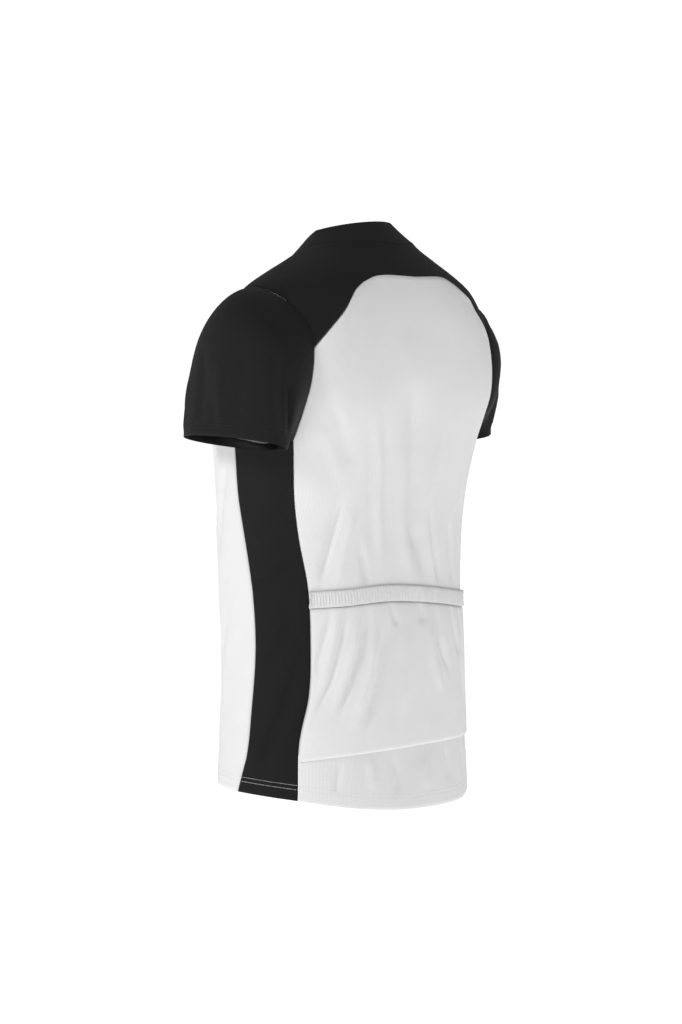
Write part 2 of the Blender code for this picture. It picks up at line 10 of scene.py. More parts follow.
import bpy
import numpy as np
from bpy.props import FloatProperty, FloatVectorProperty, IntProperty, PointerProperty
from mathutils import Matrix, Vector


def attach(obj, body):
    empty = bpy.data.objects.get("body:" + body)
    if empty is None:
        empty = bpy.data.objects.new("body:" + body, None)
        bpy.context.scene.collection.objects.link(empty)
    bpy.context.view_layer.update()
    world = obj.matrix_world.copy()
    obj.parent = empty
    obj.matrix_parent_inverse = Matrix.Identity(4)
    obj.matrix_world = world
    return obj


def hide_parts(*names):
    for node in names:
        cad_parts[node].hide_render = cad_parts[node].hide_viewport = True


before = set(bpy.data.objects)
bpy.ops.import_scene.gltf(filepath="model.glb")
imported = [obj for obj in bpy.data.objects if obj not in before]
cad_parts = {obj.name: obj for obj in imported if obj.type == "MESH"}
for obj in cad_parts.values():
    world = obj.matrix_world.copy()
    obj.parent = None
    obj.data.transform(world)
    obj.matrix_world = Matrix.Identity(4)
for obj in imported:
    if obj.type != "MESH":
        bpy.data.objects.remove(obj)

bl_info = {
    "name": "Cycling jersey",
    "version": (1, 0, 0),
    "blender": (4, 5, 0),
    "location": "View3D > Sidebar > Jersey",
    "description": "Builds the visual model of a worn cycling jersey",
    "category": "Add Mesh",
}

MM = 0.001

# ---- how finely the sheets are divided ------------------------------------------
ROWS_BELOW_POCKET = 20
ROWS_POCKET = 56
ROWS_BAND = 8
ROWS_ABOVE_BAND = 50
SPAN_UNDERARM = 24
SPAN_ARM_BACK = 28
SPAN_ARM_OVER = 44
SPAN_ARM_FRONT = 30
SPAN_YOKE_BACK = 70
SPAN_YOKE_FRONT = 24
SPAN_NECK_FRONT = 14
SLEEVE_ROWS = 60
COLLAR_ROWS = 14
BAND_COLUMNS = 4         # columns of the gathered band to one of the back's

# ---- cut and make, in millimetres --------------------------------------------------
LAYER_GAP = 0.4
POCKET_FULLNESS = 5.5
BAND_WIDTH = 20.0
ARMPIT = -226.0
NECK_CENTRE = 27.0
DEGREE = 2.6             # arc of one degree on the back
YOKE_GAP = 1.6
ARM_GAP = 2.4
HEM_TURN = 18.0          # depth of the turned hem
CUFF_TURN = 18.0
ROW_SPACING = 5.0        # between the two rows of a coverstitch
ZIP_SPACING = 6.4
TAPE_WIDTH = 12.0
TAPE_WALL = 0.8
TAPE_CLEAR = 0.8
ZIP_END = 3.0

ZIP_GAP = 0.4            # from the middle of the zip to the edge of a tape
TAPE_STRIPS = 5          # lines of points across a tape
COIL_PITCH = 1.6         # coarser than the real 1.4, so that single coils show
COIL_ASIDE = 1.2         # a coil's middle, beside the middle of the zip
COIL_SINK = 0.6          # and below the face of the cloth
COIL_STEP = 4.0          # between the points of the line that carries the coils
COIL_LENGTH, COIL_WIDTH, COIL_HEIGHT = 1.1, 2.6, 1.4

# ---- stitches -------------------------------------------------------------------
STITCH_LIFT = 0.1        # thread lies this far above the cloth
STITCH_UNEVEN = 0.18     # share by which a stitch may come out smaller
HEM_TURNS = (-86, 266)   # the hem is stitched from one side of the zip round to the other
HEM_POINTS = 420

# ---- small reliefs that aren't single folds ----------------------------------------
WAVE, SMALL_WAVE, SLEEVE_WAVE = 0.5, 0.35, 0.4
POCKET_LOOSENESS = 0.55  # below 1 the pocket fills out close to its edges
FOOT_SEAM, FOOT_SEAM_ROWS = 0.7, 1.5
BAND_SWELL, BAND_GATHER = 0.9, 0.55
SLEEVE_DEGREE = 1.35     # arc of one degree round the arm
RIGHT_SLEEVE_SPREAD = 0.92   # its folds lie a little further round than the left's

# ---- stage: places in metres, powers in watts ---------------------------------------------
FLOOR = -1.25
AIM = (0.0, 0.0, -0.32)
CAMERA_TURN, CAMERA_RISE, CAMERA_DISTANCE = 128.5, 3.5, 3.3
LENS = 95.1
WORLD_GLOW = 0.34
LIGHTS = [
    ("key", (3.6, -0.6, 1.6), 1.0, 52.0),
    ("fill", (0.6, 3.6, 2.2), 1.6, 16.0),
]

# ---- the worn form: one section a row -------------------------------------------
# square is the section's exponent: 2 is an ellipse, more is boxier
Section = namedtuple("Section", "height half_width back front centre square")
SECTIONS = [
    Section(-690, 190, 118, 114, 4, 2.25),
    Section(-640, 187, 117, 113, 4, 2.25),
    Section(-560, 183, 112, 110, 3, 2.25),
    Section(-470, 181, 110, 109, 3, 2.25),
    Section(-390, 181, 110, 112, 2, 2.25),
    Section(-310, 184, 114, 111, 2, 2.3),
    Section(-240, 190, 121, 105, 4, 2.6),
    Section(-170, 204, 122, 106, 10, 3.1),
    Section(-120, 203, 112, 98, 18, 3.0),
    Section(-75, 190, 102, 90, 22, 2.7),
    Section(-45, 174, 90, 80, 26, 2.2),
    Section(-30, 146, 83, 72, 27, 2.1),
    Section(-14, 112, 74, 61, 27, 2.0),
    Section(0, 84, 63, 53, 27, 2.0),
    Section(20, 69, 54, 50, 22, 2.0),
]

# ---- seams of the wearer's left half, from low to high or from front to back ----
At = namedtuple("At", "turn height")
SIDE_BACK = [At(30, -647), At(31, -580), At(36, -525), At(37, -460), At(36, -400), At(31, -340),
             At(28, -290), At(26, ARMPIT)]
SIDE_FRONT = [At(-4, -641), At(0, -605), At(3, -540), At(5, -470), At(4, -414), At(0, -345),
              At(-3, -290), At(-3, ARMPIT + 2)]
UNDERARM = [At(-3, ARMPIT + 2), At(7, -230), At(17, -230), At(26, ARMPIT)]
ARM_BACK = [At(26, ARMPIT), At(31, -198), At(36, -166), At(38, -140), At(38, -120)]
ARM_OVER = [At(38, -120), At(35, -100), At(24, -74), At(10, -57), At(-6, -49), At(-20, -55),
            At(-34, -76), At(-44, -110)]
ARM_FRONT = [At(-44, -110), At(-43, -150), At(-32, -194), At(-3, ARMPIT + 2)]
YOKE_BACK = [At(38, -120), At(47, -97), At(54, -76), At(58, -52), At(63, -39), At(71, -34),
             At(90, -35)]
YOKE_FRONT = [At(-44, -110), At(-50, -80), At(-55, -48), At(-58, -22)]
NECK = [At(-58, -22), At(-30, -6), At(0, 1), At(30, 5), At(60, 6), At(90, 3)]
NECK_FRONT = [At(-90, -58), At(-75, -42), At(-58, -22)]

# ---- lines that run round the body: the hem drops towards the back --------------
HEM = [At(-90, -632), At(-22, -638), At(30, -647), At(62, -661), At(90, -671), At(126, -673),
       At(150, -666), At(202, -646), At(270, -632)]
POCKET_FOOT = [At(20, -604), At(50, -598), At(90, -596), At(126, -599), At(160, -600)]
BAND_TOP = [At(20, -404), At(52, -402), At(80, -400), At(103, -409), At(126, -418),
            At(160, -424)]

# ---- the cuffs and the collar top ------------------------------------------------
Cuff = namedtuple("Cuff", "side centre_x centre_y centre_z half_width half_depth crown")
CUFFS = [
    Cuff(+1, 224, 23, -229, 33, 74, 1.10),
    Cuff(-1, 223, -10, -229, 32, 72, 0.62),
]
CUFF_RISE_OUT = 0.26    # the opening's plane rises away from the body
CUFF_RISE_BACK = -0.04
COLLAR_HALF_WIDTH = 57.0
COLLAR_HALF_DEPTH = 55.0
COLLAR_CENTRE = 7.0
COLLAR_BACK = 31.0      # height of the top edge at the back, the sides and the front
COLLAR_SIDE = 20.0
COLLAR_FRONT = -12.0

# ---- folds: a line of places from one end to the other, its width and its relief in mm --
Fold = namedtuple("Fold", "line width relief")
TRUNK_FOLDS = [
    # back, above the pocket
    Fold([(87, -150), (88, -187), (88, -270), (89, -332), (96, -406)], 5.0, -6.5),
    Fold([(83, -200), (82, -290), (84, -350), (90, -404)], 7.2, 3.8),
    Fold([(94, -220), (94, -300), (97, -360), (101, -402)], 6.3, 3.5),
    Fold([(95, -300), (98, -334), (106, -409)], 4.5, -5.2),
    Fold([(54, -290), (50, -320), (42, -397)], 5.4, -4.6),
    Fold([(60, -300), (56, -340), (50, -396)], 7.2, 2.9),
    Fold([(63, -350), (64, -365), (66, -399)], 4.5, -3.8),
    Fold([(68, -200), (67, -290), (69, -372)], 6.3, -2.5),
    Fold([(76, -196), (75, -290), (77, -374)], 6.3, -2.8),
    Fold([(72, -210), (71, -300), (73, -380)], 5.4, 2.2),
    Fold([(86, -92), (86, -130), (87, -178)], 7.2, 2.3),
    Fold([(46, -170), (52, -210), (58, -262)], 8.1, -2.3),
    Fold([(41, -205), (47, -240), (52, -276)], 7.2, 2.0),
    Fold([(112, -330), (116, -370), (118, -412)], 5.4, -3.8),
    Fold([(126, -290), (128, -350), (134, -414)], 6.3, -4.3),
    Fold([(140, -180), (134, -230), (128, -285)], 8.1, -2.6),
    Fold([(118, -200), (119, -280), (116, -330)], 7.2, 2.3),
    # back, below the pocket
    Fold([(52, -604), (50, -624), (49, -640)], 4.5, -1.9),
    Fold([(66, -600), (67, -622), (66, -642)], 5.4, 1.7),
    Fold([(78, -602), (80, -630), (79, -650)], 5.4, -2.2),
    Fold([(93, -604), (92, -628), (94, -652)], 5.4, 1.6),
    Fold([(106, -602), (108, -630), (107, -650)], 5.4, -2.0),
    Fold([(124, -604), (123, -628), (126, -650)], 5.4, -1.7),
    # left side panel and the fronts
    Fold([(34, -470), (26, -515), (20, -545), (8, -606)], 8.1, -3.8),
    Fold([(36, -505), (30, -540), (22, -575), (14, -622)], 8.1, 2.9),
    Fold([(30, -415), (22, -450), (10, -490)], 7.2, -2.6),
    Fold([(30, -355), (18, -376), (4, -402)], 7.2, -2.2),
    Fold([(24, -300), (14, -330), (2, -352)], 7.2, 1.9),
    Fold([(-10, -250), (-20, -300), (-30, -370)], 8.1, -3.2),
    Fold([(-16, -420), (-26, -480), (-40, -560)], 9.0, -3.2),
    Fold([(-40, -300), (-46, -380), (-44, -460)], 8.1, 2.6),
    Fold([(-60, -250), (-64, -340), (-60, -430)], 9.0, -2.9),
    Fold([(-52, -500), (-58, -560), (-56, -620)], 8.1, -2.6),
    Fold([(-74, -420), (-70, -500), (-74, -590)], 7.2, 2.3),
    Fold([(-48, -130), (-60, -170), (-72, -230)], 9.0, -2.3),
    Fold([(-118, -250), (-114, -340), (-120, -420)], 9.0, -3.2),
    Fold([(-106, -440), (-110, -520), (-104, -600)], 8.1, 2.6),
    Fold([(-132, -300), (-138, -380), (-132, -470)], 8.1, -2.9),
    Fold([(-168, -250), (-158, -310), (-150, -380)], 8.1, -2.9),
    Fold([(-164, -430), (-152, -500), (-142, -570)], 9.0, -3.5),
    Fold([(-130, -140), (-120, -180), (-108, -236)], 9.0, -2.2),
    # right side panel
    Fold([(146, -480), (156, -530), (168, -600)], 8.1, -3.5),
    Fold([(150, -420), (160, -450), (174, -486)], 7.2, -2.3),
    Fold([(156, -330), (166, -356), (178, -380)], 7.2, -2.2),
    # yoke
    Fold([(46, -80), (56, -62), (66, -50)], 4.5, 1.9),
    Fold([(68, -24), (90, -27), (112, -24)], 4.5, 1.7),
    Fold([(40, -62), (52, -44), (64, -34)], 4.5, -1.7),
    Fold([(134, -80), (124, -62), (114, -50)], 4.5, 1.7),
    Fold([(140, -62), (128, -44), (116, -34)], 4.5, -1.6),
]
POCKET_FOLDS = [
    Fold([(49, -412), (48, -424), (44, -457), (38, -506)], 4.8, -5.4),
    Fold([(57, -412), (56, -422), (52, -455), (46, -507), (38, -555)], 4.8, -6.1),
    Fold([(52, -430), (47, -480), (41, -530)], 5.6, 3.8),
    Fold([(67, -412), (66, -424), (62, -467), (54, -521), (50, -553)], 4.8, -6.1),
    Fold([(61, -440), (56, -490), (48, -540)], 5.6, 3.8),
    Fold([(75, -430), (74, -453), (70, -504), (63, -572)], 5.6, -5.1),
    Fold([(70, -450), (65, -505), (58, -560)], 6.4, 3.5),
    Fold([(78, -412), (78, -427), (80, -451)], 4.0, -4.8),
    Fold([(92, -414), (92, -430), (92, -452)], 4.0, -4.5),
    Fold([(84, -440), (84, -500), (80, -560)], 8.0, 2.6),
    Fold([(102, -420), (102, -437), (102, -471), (109, -517)], 4.8, -4.8),
    Fold([(96, -440), (97, -490), (103, -540)], 6.4, 2.9),
    Fold([(113, -424), (114, -450), (120, -500)], 4.8, -4.8),
    Fold([(124, -428), (126, -460), (133, -520)], 4.8, -5.1),
    Fold([(119, -450), (122, -500), (130, -555)], 6.4, 3.5),
    Fold([(134, -430), (138, -470), (144, -520)], 4.8, -4.5),
]
# on a sleeve: degrees round the arm from the shoulder (back is positive), and height
SLEEVE_FOLDS = [
    Fold([(70, -150), (84, -185), (96, -214)], 6.3, -3.9),
    Fold([(62, -166), (74, -200), (84, -226)], 7.2, 2.6),
    Fold([(48, -118), (56, -150), (60, -196)], 6.3, -2.3),
    Fold([(20, -110), (24, -150), (18, -206)], 9.0, -2.2),
    Fold([(2, -120), (0, -170), (6, -222)], 8.1, 2.0),
    Fold([(-24, -110), (-20, -160), (-28, -214)], 8.1, -2.3),
    Fold([(-60, -140), (-74, -180), (-84, -216)], 6.3, -3.4),
    Fold([(-52, -150), (-62, -190), (-68, -226)], 7.2, 2.3),
    Fold([(120, -222), (118, -236), (122, -250)], 6.3, -2.1),
    Fold([(150, -226), (156, -240), (150, -252)], 6.3, 1.7),
    Fold([(30, -84), (44, -92), (58, -112)], 4.5, -2.1),
]


# ---- geometry helpers ----------------------------------------------------------------

def smooth(table, key):
    """Read a table at the given keys by a cubic through its rows; the first column is the key."""
    rows = np.array(table, float)
    keys, values = rows[:, 0], rows[:, 1:]
    slopes = np.gradient(values, keys, axis=0)
    key = np.clip(np.asarray(key, float), keys[0], keys[-1])
    i = np.clip(np.searchsorted(keys, key, side="right") - 1, 0, len(keys) - 2)
    width = (keys[i + 1] - keys[i])[..., None]
    f = (key - keys[i])[..., None] / width
    return ((2 * f**3 - 3 * f**2 + 1) * values[i] + (f**3 - 2 * f**2 + f) * width * slopes[i]
            + (3 * f**2 - 2 * f**3) * values[i + 1] + (f**3 - f**2) * width * slopes[i + 1])


def line(table, turn):
    """Height of a line round the body at the given turns."""
    return smooth(table, turn)[..., 0]


def signed_power(value, power):
    return np.sign(value) * np.abs(value) ** power


def worn_form(turn, height):
    """Points of the worn form, without folds."""
    turn, height = np.broadcast_arrays(np.asarray(turn, float), np.asarray(height, float))
    half_width, back, front, centre, square = np.moveaxis(smooth(SECTIONS, height), -1, 0)
    cosine, sine = np.cos(np.radians(turn)), np.sin(np.radians(turn))
    depth = np.where(sine > 0, back, front)
    return np.stack([half_width * signed_power(cosine, 2 / square),
                     centre + depth * signed_power(sine, 2 / square), height], -1)


def outward(turn, height):
    """Unit vectors that point away from the wearer at places on the form."""
    across = worn_form(turn + 1, height) - worn_form(turn - 1, height)
    up = worn_form(turn, height + 1) - worn_form(turn, height - 1)
    normal = np.cross(across, up)
    return normal / np.linalg.norm(normal, axis=-1, keepdims=True)


def fold_relief(folds, turn, height, degree=DEGREE):
    """Sum of soft ridges and troughs along the given lines; each fades towards its ends."""
    shape = np.broadcast(turn, height).shape
    point = np.stack([np.broadcast_to(turn, shape) * degree, np.broadcast_to(height, shape)], -1)
    relief = np.zeros(shape)
    for fold in folds:
        path = np.array(fold.line, float) * (degree, 1)
        lengths = np.linalg.norm(np.diff(path, axis=0), axis=1)
        started, nearest, where = 0.0, np.full(shape, np.inf), np.zeros(shape)
        for start, end, length in zip(path, path[1:], lengths):
            f = np.clip(((point - start) @ (end - start)) / length**2, 0, 1)
            away = np.linalg.norm(point - start - f[..., None] * (end - start), axis=-1)
            where = np.where(away < nearest, (started + f * length) / lengths.sum(), where)
            nearest = np.minimum(nearest, away)
            started += length
        fade = np.clip(where / 0.3, 0, 1) * np.clip((1 - where) / 0.25, 0, 1)
        fade = 0.15 + 0.85 * fade * fade * (3 - 2 * fade)
        relief += fold.relief * fade * np.exp(-(nearest / fold.width) ** 2)
    return relief


def trunk_relief(turn, height):
    """The folds of the trunk, with a few small uneven waves of loose cloth."""
    turn, height = np.broadcast_arrays(np.asarray(turn, float), np.asarray(height, float))
    relief = fold_relief(TRUNK_FOLDS, turn, height)
    right_front = fold_relief(TRUNK_FOLDS, turn - 360, height)
    relief = relief + np.where(turn > 180, right_front, 0)
    waves = (WAVE * np.sin(turn / 7.0 + height / 61.0) * np.sin(height / 83.0 + 1.3)
             + SMALL_WAVE * np.sin(turn / 3.9 - height / 47.0 + 0.6) * np.sin(height / 39.0 + turn / 19.0))
    calm = np.clip((-70 - height) / 60, 0, 1)
    neck = np.clip((-18 - height) / 30, 0, 1)
    return relief * neck + waves * calm


def worn_cloth(places, lift=0.0):
    """Points on the form for a grid of places, with the trunk's folds, moved out by lift."""
    turn, height = places[..., 0], places[..., 1]
    rise = trunk_relief(turn, height) + lift
    return worn_form(turn, height) + outward(turn, height) * np.asarray(rise)[..., None]


def through(points, spans):
    """Evenly numbered places on a smooth curve through the given ones, both ends included."""
    p = np.array(points, float)
    p = np.vstack([2 * p[0] - p[1], p, 2 * p[-1] - p[-2]])
    u = np.linspace(0, len(points) - 1, spans + 1)
    i = np.minimum(u.astype(int), len(points) - 2)
    f = (u - i)[:, None]
    a, b, c, d = p[i], p[i + 1], p[i + 2], p[i + 3]
    return 0.5 * (2 * b + (c - a) * f + (2 * a - 5 * b + 4 * c - d) * f**2
                  + (3 * b - a - 3 * c + d) * f**3)


def fill(low, high, start, end):
    """Grid of places between four edges that meet at their corners (a Coons patch)."""
    u = np.linspace(0, 1, len(low))[None, :, None]
    v = np.linspace(0, 1, len(start))[:, None, None]
    corners = ((1 - u) * (1 - v) * low[0] + u * (1 - v) * low[-1]
               + (1 - u) * v * high[0] + u * v * high[-1])
    return (1 - v) * low[None] + v * high[None] + (1 - u) * start[:, None] + u * end[:, None] - corners


def mirror(places):
    """The same places on the other half of the body, in the opposite order."""
    other = np.array(places, float)[::-1].copy()
    other[:, 0] = 180 - other[:, 0]
    return other


def pull_in(grid, low=0.0, high=0.0, start=0.0, end=0.0):
    """Move a grid's edges inwards along its own surface by the given distances."""
    def step(edge, inner, distance):
        way = inner - edge
        return way / np.linalg.norm(way, axis=-1, keepdims=True) * distance
    moved = grid.copy()
    moved[0] += step(grid[0], grid[1], low)
    moved[-1] += step(grid[-1], grid[-2], high)
    moved[:, 0] += step(grid[:, 0], grid[:, 1], start)
    moved[:, -1] += step(grid[:, -1], grid[:, -2], end)
    return moved


def own_line(table, side):
    """A line's height, read in the left half's turns, on the given side of the body."""
    return lambda turn: line(table, turn if side > 0 else 180 - turn)


def back_seam(side):
    """Places down the back side seam, one for each row of the back panel, in left turns."""
    hem, foot, top = own_line(HEM, side), own_line(POCKET_FOOT, side), own_line(BAND_TOP, side)
    lines = [hem, foot, lambda turn: top(turn) - BAND_WIDTH, top, lambda turn: ARMPIT]
    counts = [ROWS_BELOW_POCKET, ROWS_POCKET, ROWS_BAND, ROWS_ABOVE_BAND]
    seam = np.array([(p.height, p.turn) for p in SIDE_BACK], float)
    places = []
    for lower, upper, count in zip(lines, lines[1:], counts):
        for f in np.arange(count) / count:
            places.append(meet(seam, lower, upper, f))
    places.append(meet(seam, lines[-2], lines[-1], 1.0))
    return np.array(places)


def meet(seam, lower, upper, f):
    """Where a row between two lines meets the side seam."""
    turn = seam[0, 1]
    for _ in range(12):
        height = (1 - f) * lower(turn) + f * upper(turn)
        turn = float(smooth(seam, height)[0])
    return turn, height


def front_seam(side):
    """Places down the front side seam, as many as on the back one."""
    seam = np.array([(p.height, p.turn) for p in SIDE_FRONT], float)
    rows = ROWS_BELOW_POCKET + ROWS_POCKET + ROWS_BAND + ROWS_ABOVE_BAND + 1
    low = own_line(HEM, side)(seam[0, 1])
    heights = np.linspace(low, seam[-1, 0], rows)
    return np.stack([smooth(seam, heights)[:, 0], heights], -1)


def hem_edge(side, start, end, spans):
    turns = np.linspace(start, end, spans + 1)
    return np.stack([turns, own_line(HEM, side)(turns)], -1)


def to_side(side, places):
    """Take a grid laid out for the left half to its own side, still running round one way."""
    if side > 0:
        return places
    other = places[:, ::-1].copy()
    other[..., 0] = 180 - other[..., 0]
    return other


def armhole():
    """Places round the left armhole: under the arm, up the back, over, and down the front."""
    return np.vstack([through(UNDERARM, SPAN_UNDERARM)[:-1], through(ARM_BACK, SPAN_ARM_BACK)[:-1],
                      through(ARM_OVER, SPAN_ARM_OVER)[:-1], through(ARM_FRONT, SPAN_ARM_FRONT)[:-1]])


def neck_seam():
    """Places round the neck seam, from the centre front over the left shoulder and back again."""
    half = np.vstack([through(NECK_FRONT, SPAN_NECK_FRONT)[:-1],
                      through(NECK, SPAN_ARM_OVER + SPAN_YOKE_BACK)])
    return np.vstack([half, mirror(half)[1:]])


def back_places():
    """Grid of places on the back panel, from the hem to the yoke."""
    left, right = back_seam(+1), back_seam(-1)
    columns = 2 * SPAN_YOKE_BACK + 1
    lines = [lambda turn: line(HEM, turn), lambda turn: line(POCKET_FOOT, turn),
             lambda turn: line(BAND_TOP, turn) - BAND_WIDTH, lambda turn: line(BAND_TOP, turn),
             lambda turn: np.full_like(turn, ARMPIT)]
    counts = [ROWS_BELOW_POCKET, ROWS_POCKET, ROWS_BAND, ROWS_ABOVE_BAND]
    rows = []
    for lower, upper, count in zip(lines, lines[1:], counts):
        for f in np.arange(count) / count:
            turns = np.linspace(left[len(rows)][0], 180 - right[len(rows)][0], columns)
            rows.append(np.stack([turns, (1 - f) * lower(turns) + f * upper(turns)], -1))
    turns = np.linspace(left[-1][0], 180 - right[-1][0], columns)
    rows.append(np.stack([turns, np.full_like(turns, ARMPIT)], -1))
    yoke = through(YOKE_BACK, SPAN_YOKE_BACK)
    arm = through(ARM_BACK, SPAN_ARM_BACK)
    other_arm = arm.copy()
    other_arm[:, 0] = 180 - other_arm[:, 0]
    upper_back = fill(rows[-1], np.vstack([yoke, mirror(yoke)[1:]]), arm, other_arm)
    return np.concatenate([np.array(rows), upper_back[1:]])


def loose(places):
    """How freely the pocket stands off: none at its edges, most in its middle."""
    rows, columns = places.shape[:2]
    up = np.sin(np.pi * np.linspace(0, 1, rows)) ** 0.7
    across = np.sin(np.pi * np.linspace(0, 1, columns)) ** 0.5
    return up[:, None] * across[None, :]


def front_places(side):
    """Grid of places on one front: a patch up to the armpit and one beside the armhole."""
    seam, arm = front_seam(side), through(ARM_FRONT, SPAN_ARM_FRONT)[::-1]
    top = np.vstack([through(NECK_FRONT, SPAN_NECK_FRONT),
                     through(YOKE_FRONT, SPAN_YOKE_FRONT)[::-1][1:]])
    low = hem_edge(side, -90, seam[0, 0], len(top) - 1)
    chest = np.linspace((-90, seam[-1, 1]), seam[-1], len(top))
    lower = fill(low, chest, np.linspace(low[0], chest[0], len(seam)), seam)
    upper = fill(chest, top, np.linspace(chest[0], top[0], len(arm)), arm)
    return np.concatenate([lower, upper[1:]])


def front_grid(side):
    return worn_cloth(to_side(side, front_places(side)))


def unit(vectors):
    return vectors / np.linalg.norm(vectors, axis=-1, keepdims=True)


def loft(start, leave, end, arrive, rows):
    """Rows of points from one edge to another that leave and arrive along given vectors."""
    v = np.linspace(0, 1, rows + 1)[:, None, None]
    return ((2 * v**3 - 3 * v**2 + 1) * start + (v**3 - 2 * v**2 + v) * leave
            + (3 * v**2 - 2 * v**3) * end + (v**3 - v**2) * arrive)


def sleeve_grid(cuff):
    """From the armhole to the tilted oval of the cuff, laid out for the left arm."""
    places = armhole()
    seam = worn_form(places[:, 0], places[:, 1])
    low, high = seam.min(axis=0), seam.max(axis=0)
    middle, reach = (low + high) / 2, (high - low) / 2
    round_arm = np.arctan2((seam[:, 1] - middle[1]) / reach[1], (seam[:, 2] - middle[2]) / reach[2])
    out, back = cuff.half_width * np.cos(round_arm), cuff.half_depth * np.sin(round_arm)
    edge = np.stack([cuff.centre_x + out, cuff.centre_y + back,
                     cuff.centre_z + CUFF_RISE_OUT * out + CUFF_RISE_BACK * back], -1)
    over = (1 + np.cos(round_arm)) / 2          # 1 at the shoulder, 0 under the arm
    leave = unit(np.stack([0.75 + 0.30 * over, 0.15 * np.sin(round_arm), 0.75 * over - 0.85], -1))
    arrive = unit(np.array([0.10, -0.09, -1.0]))
    length = np.linalg.norm(edge - seam, axis=1, keepdims=True)
    leave = leave * length * (0.9 + 0.45 * over[:, None] * cuff.crown)
    arrive = arrive * length * (0.9 + 0.2 * over[:, None])
    return loft(seam, leave, edge, arrive, SLEEVE_ROWS)


def collar_grid():
    """From the neck seam to the collar top, open at the centre front for the zip."""
    places = neck_seam()
    seam = worn_form(places[:, 0], places[:, 1])
    angle = np.arctan2(seam[:, 1] - NECK_CENTRE, seam[:, 0])
    rise = np.where(np.sin(angle) > 0, COLLAR_BACK - COLLAR_SIDE, COLLAR_SIDE - COLLAR_FRONT)
    top = np.stack([COLLAR_HALF_WIDTH * np.cos(angle),
                    COLLAR_CENTRE + COLLAR_HALF_DEPTH * np.sin(angle),
                    COLLAR_SIDE + rise * np.sin(angle)], -1)
    v = np.linspace(0, 1, COLLAR_ROWS + 1)[:, None, None]
    return seam + (top - seam) * v


def walk(row, distance):
    """The point a given distance along a row of points."""
    steps = np.linalg.norm(np.diff(row, axis=0), axis=1)
    length = np.concatenate([[0], np.cumsum(steps)])
    return np.array([np.interp(distance, length, row[:, axis]) for axis in range(3)])


def zip_line(distance, lift):
    """Up the left front and collar, a given distance beside the opening and lifted outwards."""
    rows = list(front_grid(+1)) + list(collar_grid()[1:])
    middle = np.array([row[0] for row in rows])
    out = unit(np.cross((1, 0, 0), np.gradient(middle, axis=0)))
    return np.array([walk(row, distance) for row in rows]) + out * lift


def flip(points):
    return points * (-1, 1, 1)


# ---- geometry of the finished sheets -------------------------------------------------------

def surface_normals(grid, closed=False):
    """Unit normals of a grid of points; a closed grid's last column meets its first."""
    across = (np.roll(grid, -1, axis=1) - np.roll(grid, 1, axis=1)) if closed \
        else np.gradient(grid, axis=1)
    return unit(np.cross(across, np.gradient(grid, axis=0)))


def pocket_grid():
    """The pocket is the back's own places moved out; it is loosest in its middle."""
    first = ROWS_BELOW_POCKET
    places = back_places()[first:first + ROWS_POCKET + 1]
    folds = fold_relief(POCKET_FOLDS, places[..., 0], places[..., 1])
    slack = np.clip(POCKET_FULLNESS + folds, 0, None) * loose(places) ** POCKET_LOOSENESS
    wall = cloth().pocket_wall / MM
    seam = FOOT_SEAM * np.exp(-(np.arange(len(places)) / FOOT_SEAM_ROWS)**2)[:, None]
    return worn_cloth(places, LAYER_GAP + wall + slack + seam)


def band_grid():
    """The elastic along the pocket mouth: fine slanting gathers, deepest in its middle."""
    first = ROWS_BELOW_POCKET + ROWS_POCKET
    coarse = back_places()[first:first + ROWS_BAND + 1]
    rows, columns = coarse.shape[:2]
    u = np.linspace(0, columns - 1, (columns - 1) * BAND_COLUMNS + 1)
    places = np.stack([np.stack([np.interp(u, np.arange(columns), row[:, axis]) for axis in (0, 1)], -1)
                       for row in coarse])
    up = np.linspace(0, 1, rows)[:, None]
    turn = places[..., 0]
    ripple = np.sin(turn * 4.1 + up * 2.4) + 0.5 * np.sin(turn * 6.7 - up * 1.9 + 1.0)
    swell = BAND_SWELL * np.sin(np.pi * up) ** 0.6
    gather = BAND_GATHER * ripple * np.sin(np.pi * up) ** 0.5
    return worn_cloth(places, LAYER_GAP + cloth().band_wall / MM + swell + gather)


def folded_sleeve(cuff):
    """A sleeve's grid with its creases, on its own side of the body, and pulled in at its seam."""
    grid = sleeve_grid(cuff)
    out = surface_normals(grid, closed=True)
    low, high = grid[0].min(axis=0), grid[0].max(axis=0)
    middle, reach = (low + high) / 2, (high - low) / 2
    round_arm = np.degrees(np.arctan2((grid[0][:, 1] - middle[1]) / reach[1],
                                      (grid[0][:, 2] - middle[2]) / reach[2]))
    angle = np.broadcast_to(round_arm, grid.shape[:2]) * (1 if cuff.side > 0 else RIGHT_SLEEVE_SPREAD)
    relief = fold_relief(SLEEVE_FOLDS, angle, grid[..., 2], SLEEVE_DEGREE)
    relief += SLEEVE_WAVE * np.sin(angle / 11.0 + grid[..., 2] / 27.0) * np.sin(grid[..., 2] / 41.0)
    down = np.linspace(0, 1, len(grid))[:, None]
    # the creases die out at the armhole seam and flatten along the turned cuff
    relief = relief * np.clip(down / 0.12, 0, 1) * np.clip((1 - down) / 0.06, 0.35, 1)
    grid = grid + out * relief[..., None]
    over = (grid[0][:, 2:] - low[2]) / (high[2] - low[2])
    grid[0] += unit(grid[1] - grid[0]) * (seam_gap() + (ARM_GAP - seam_gap()) * over) / 2
    if cuff.side < 0:
        grid = grid[:, ::-1] * (-1, 1, 1)
    return grid


# ---- Blender helpers ------------------------------------------------------------------------

def cloth():
    return bpy.context.scene.jersey_cloth


def colours():
    return bpy.context.scene.jersey_colours


def stitching():
    return bpy.context.scene.jersey_stitching


def seam_gap():
    return cloth().seam_gap / MM


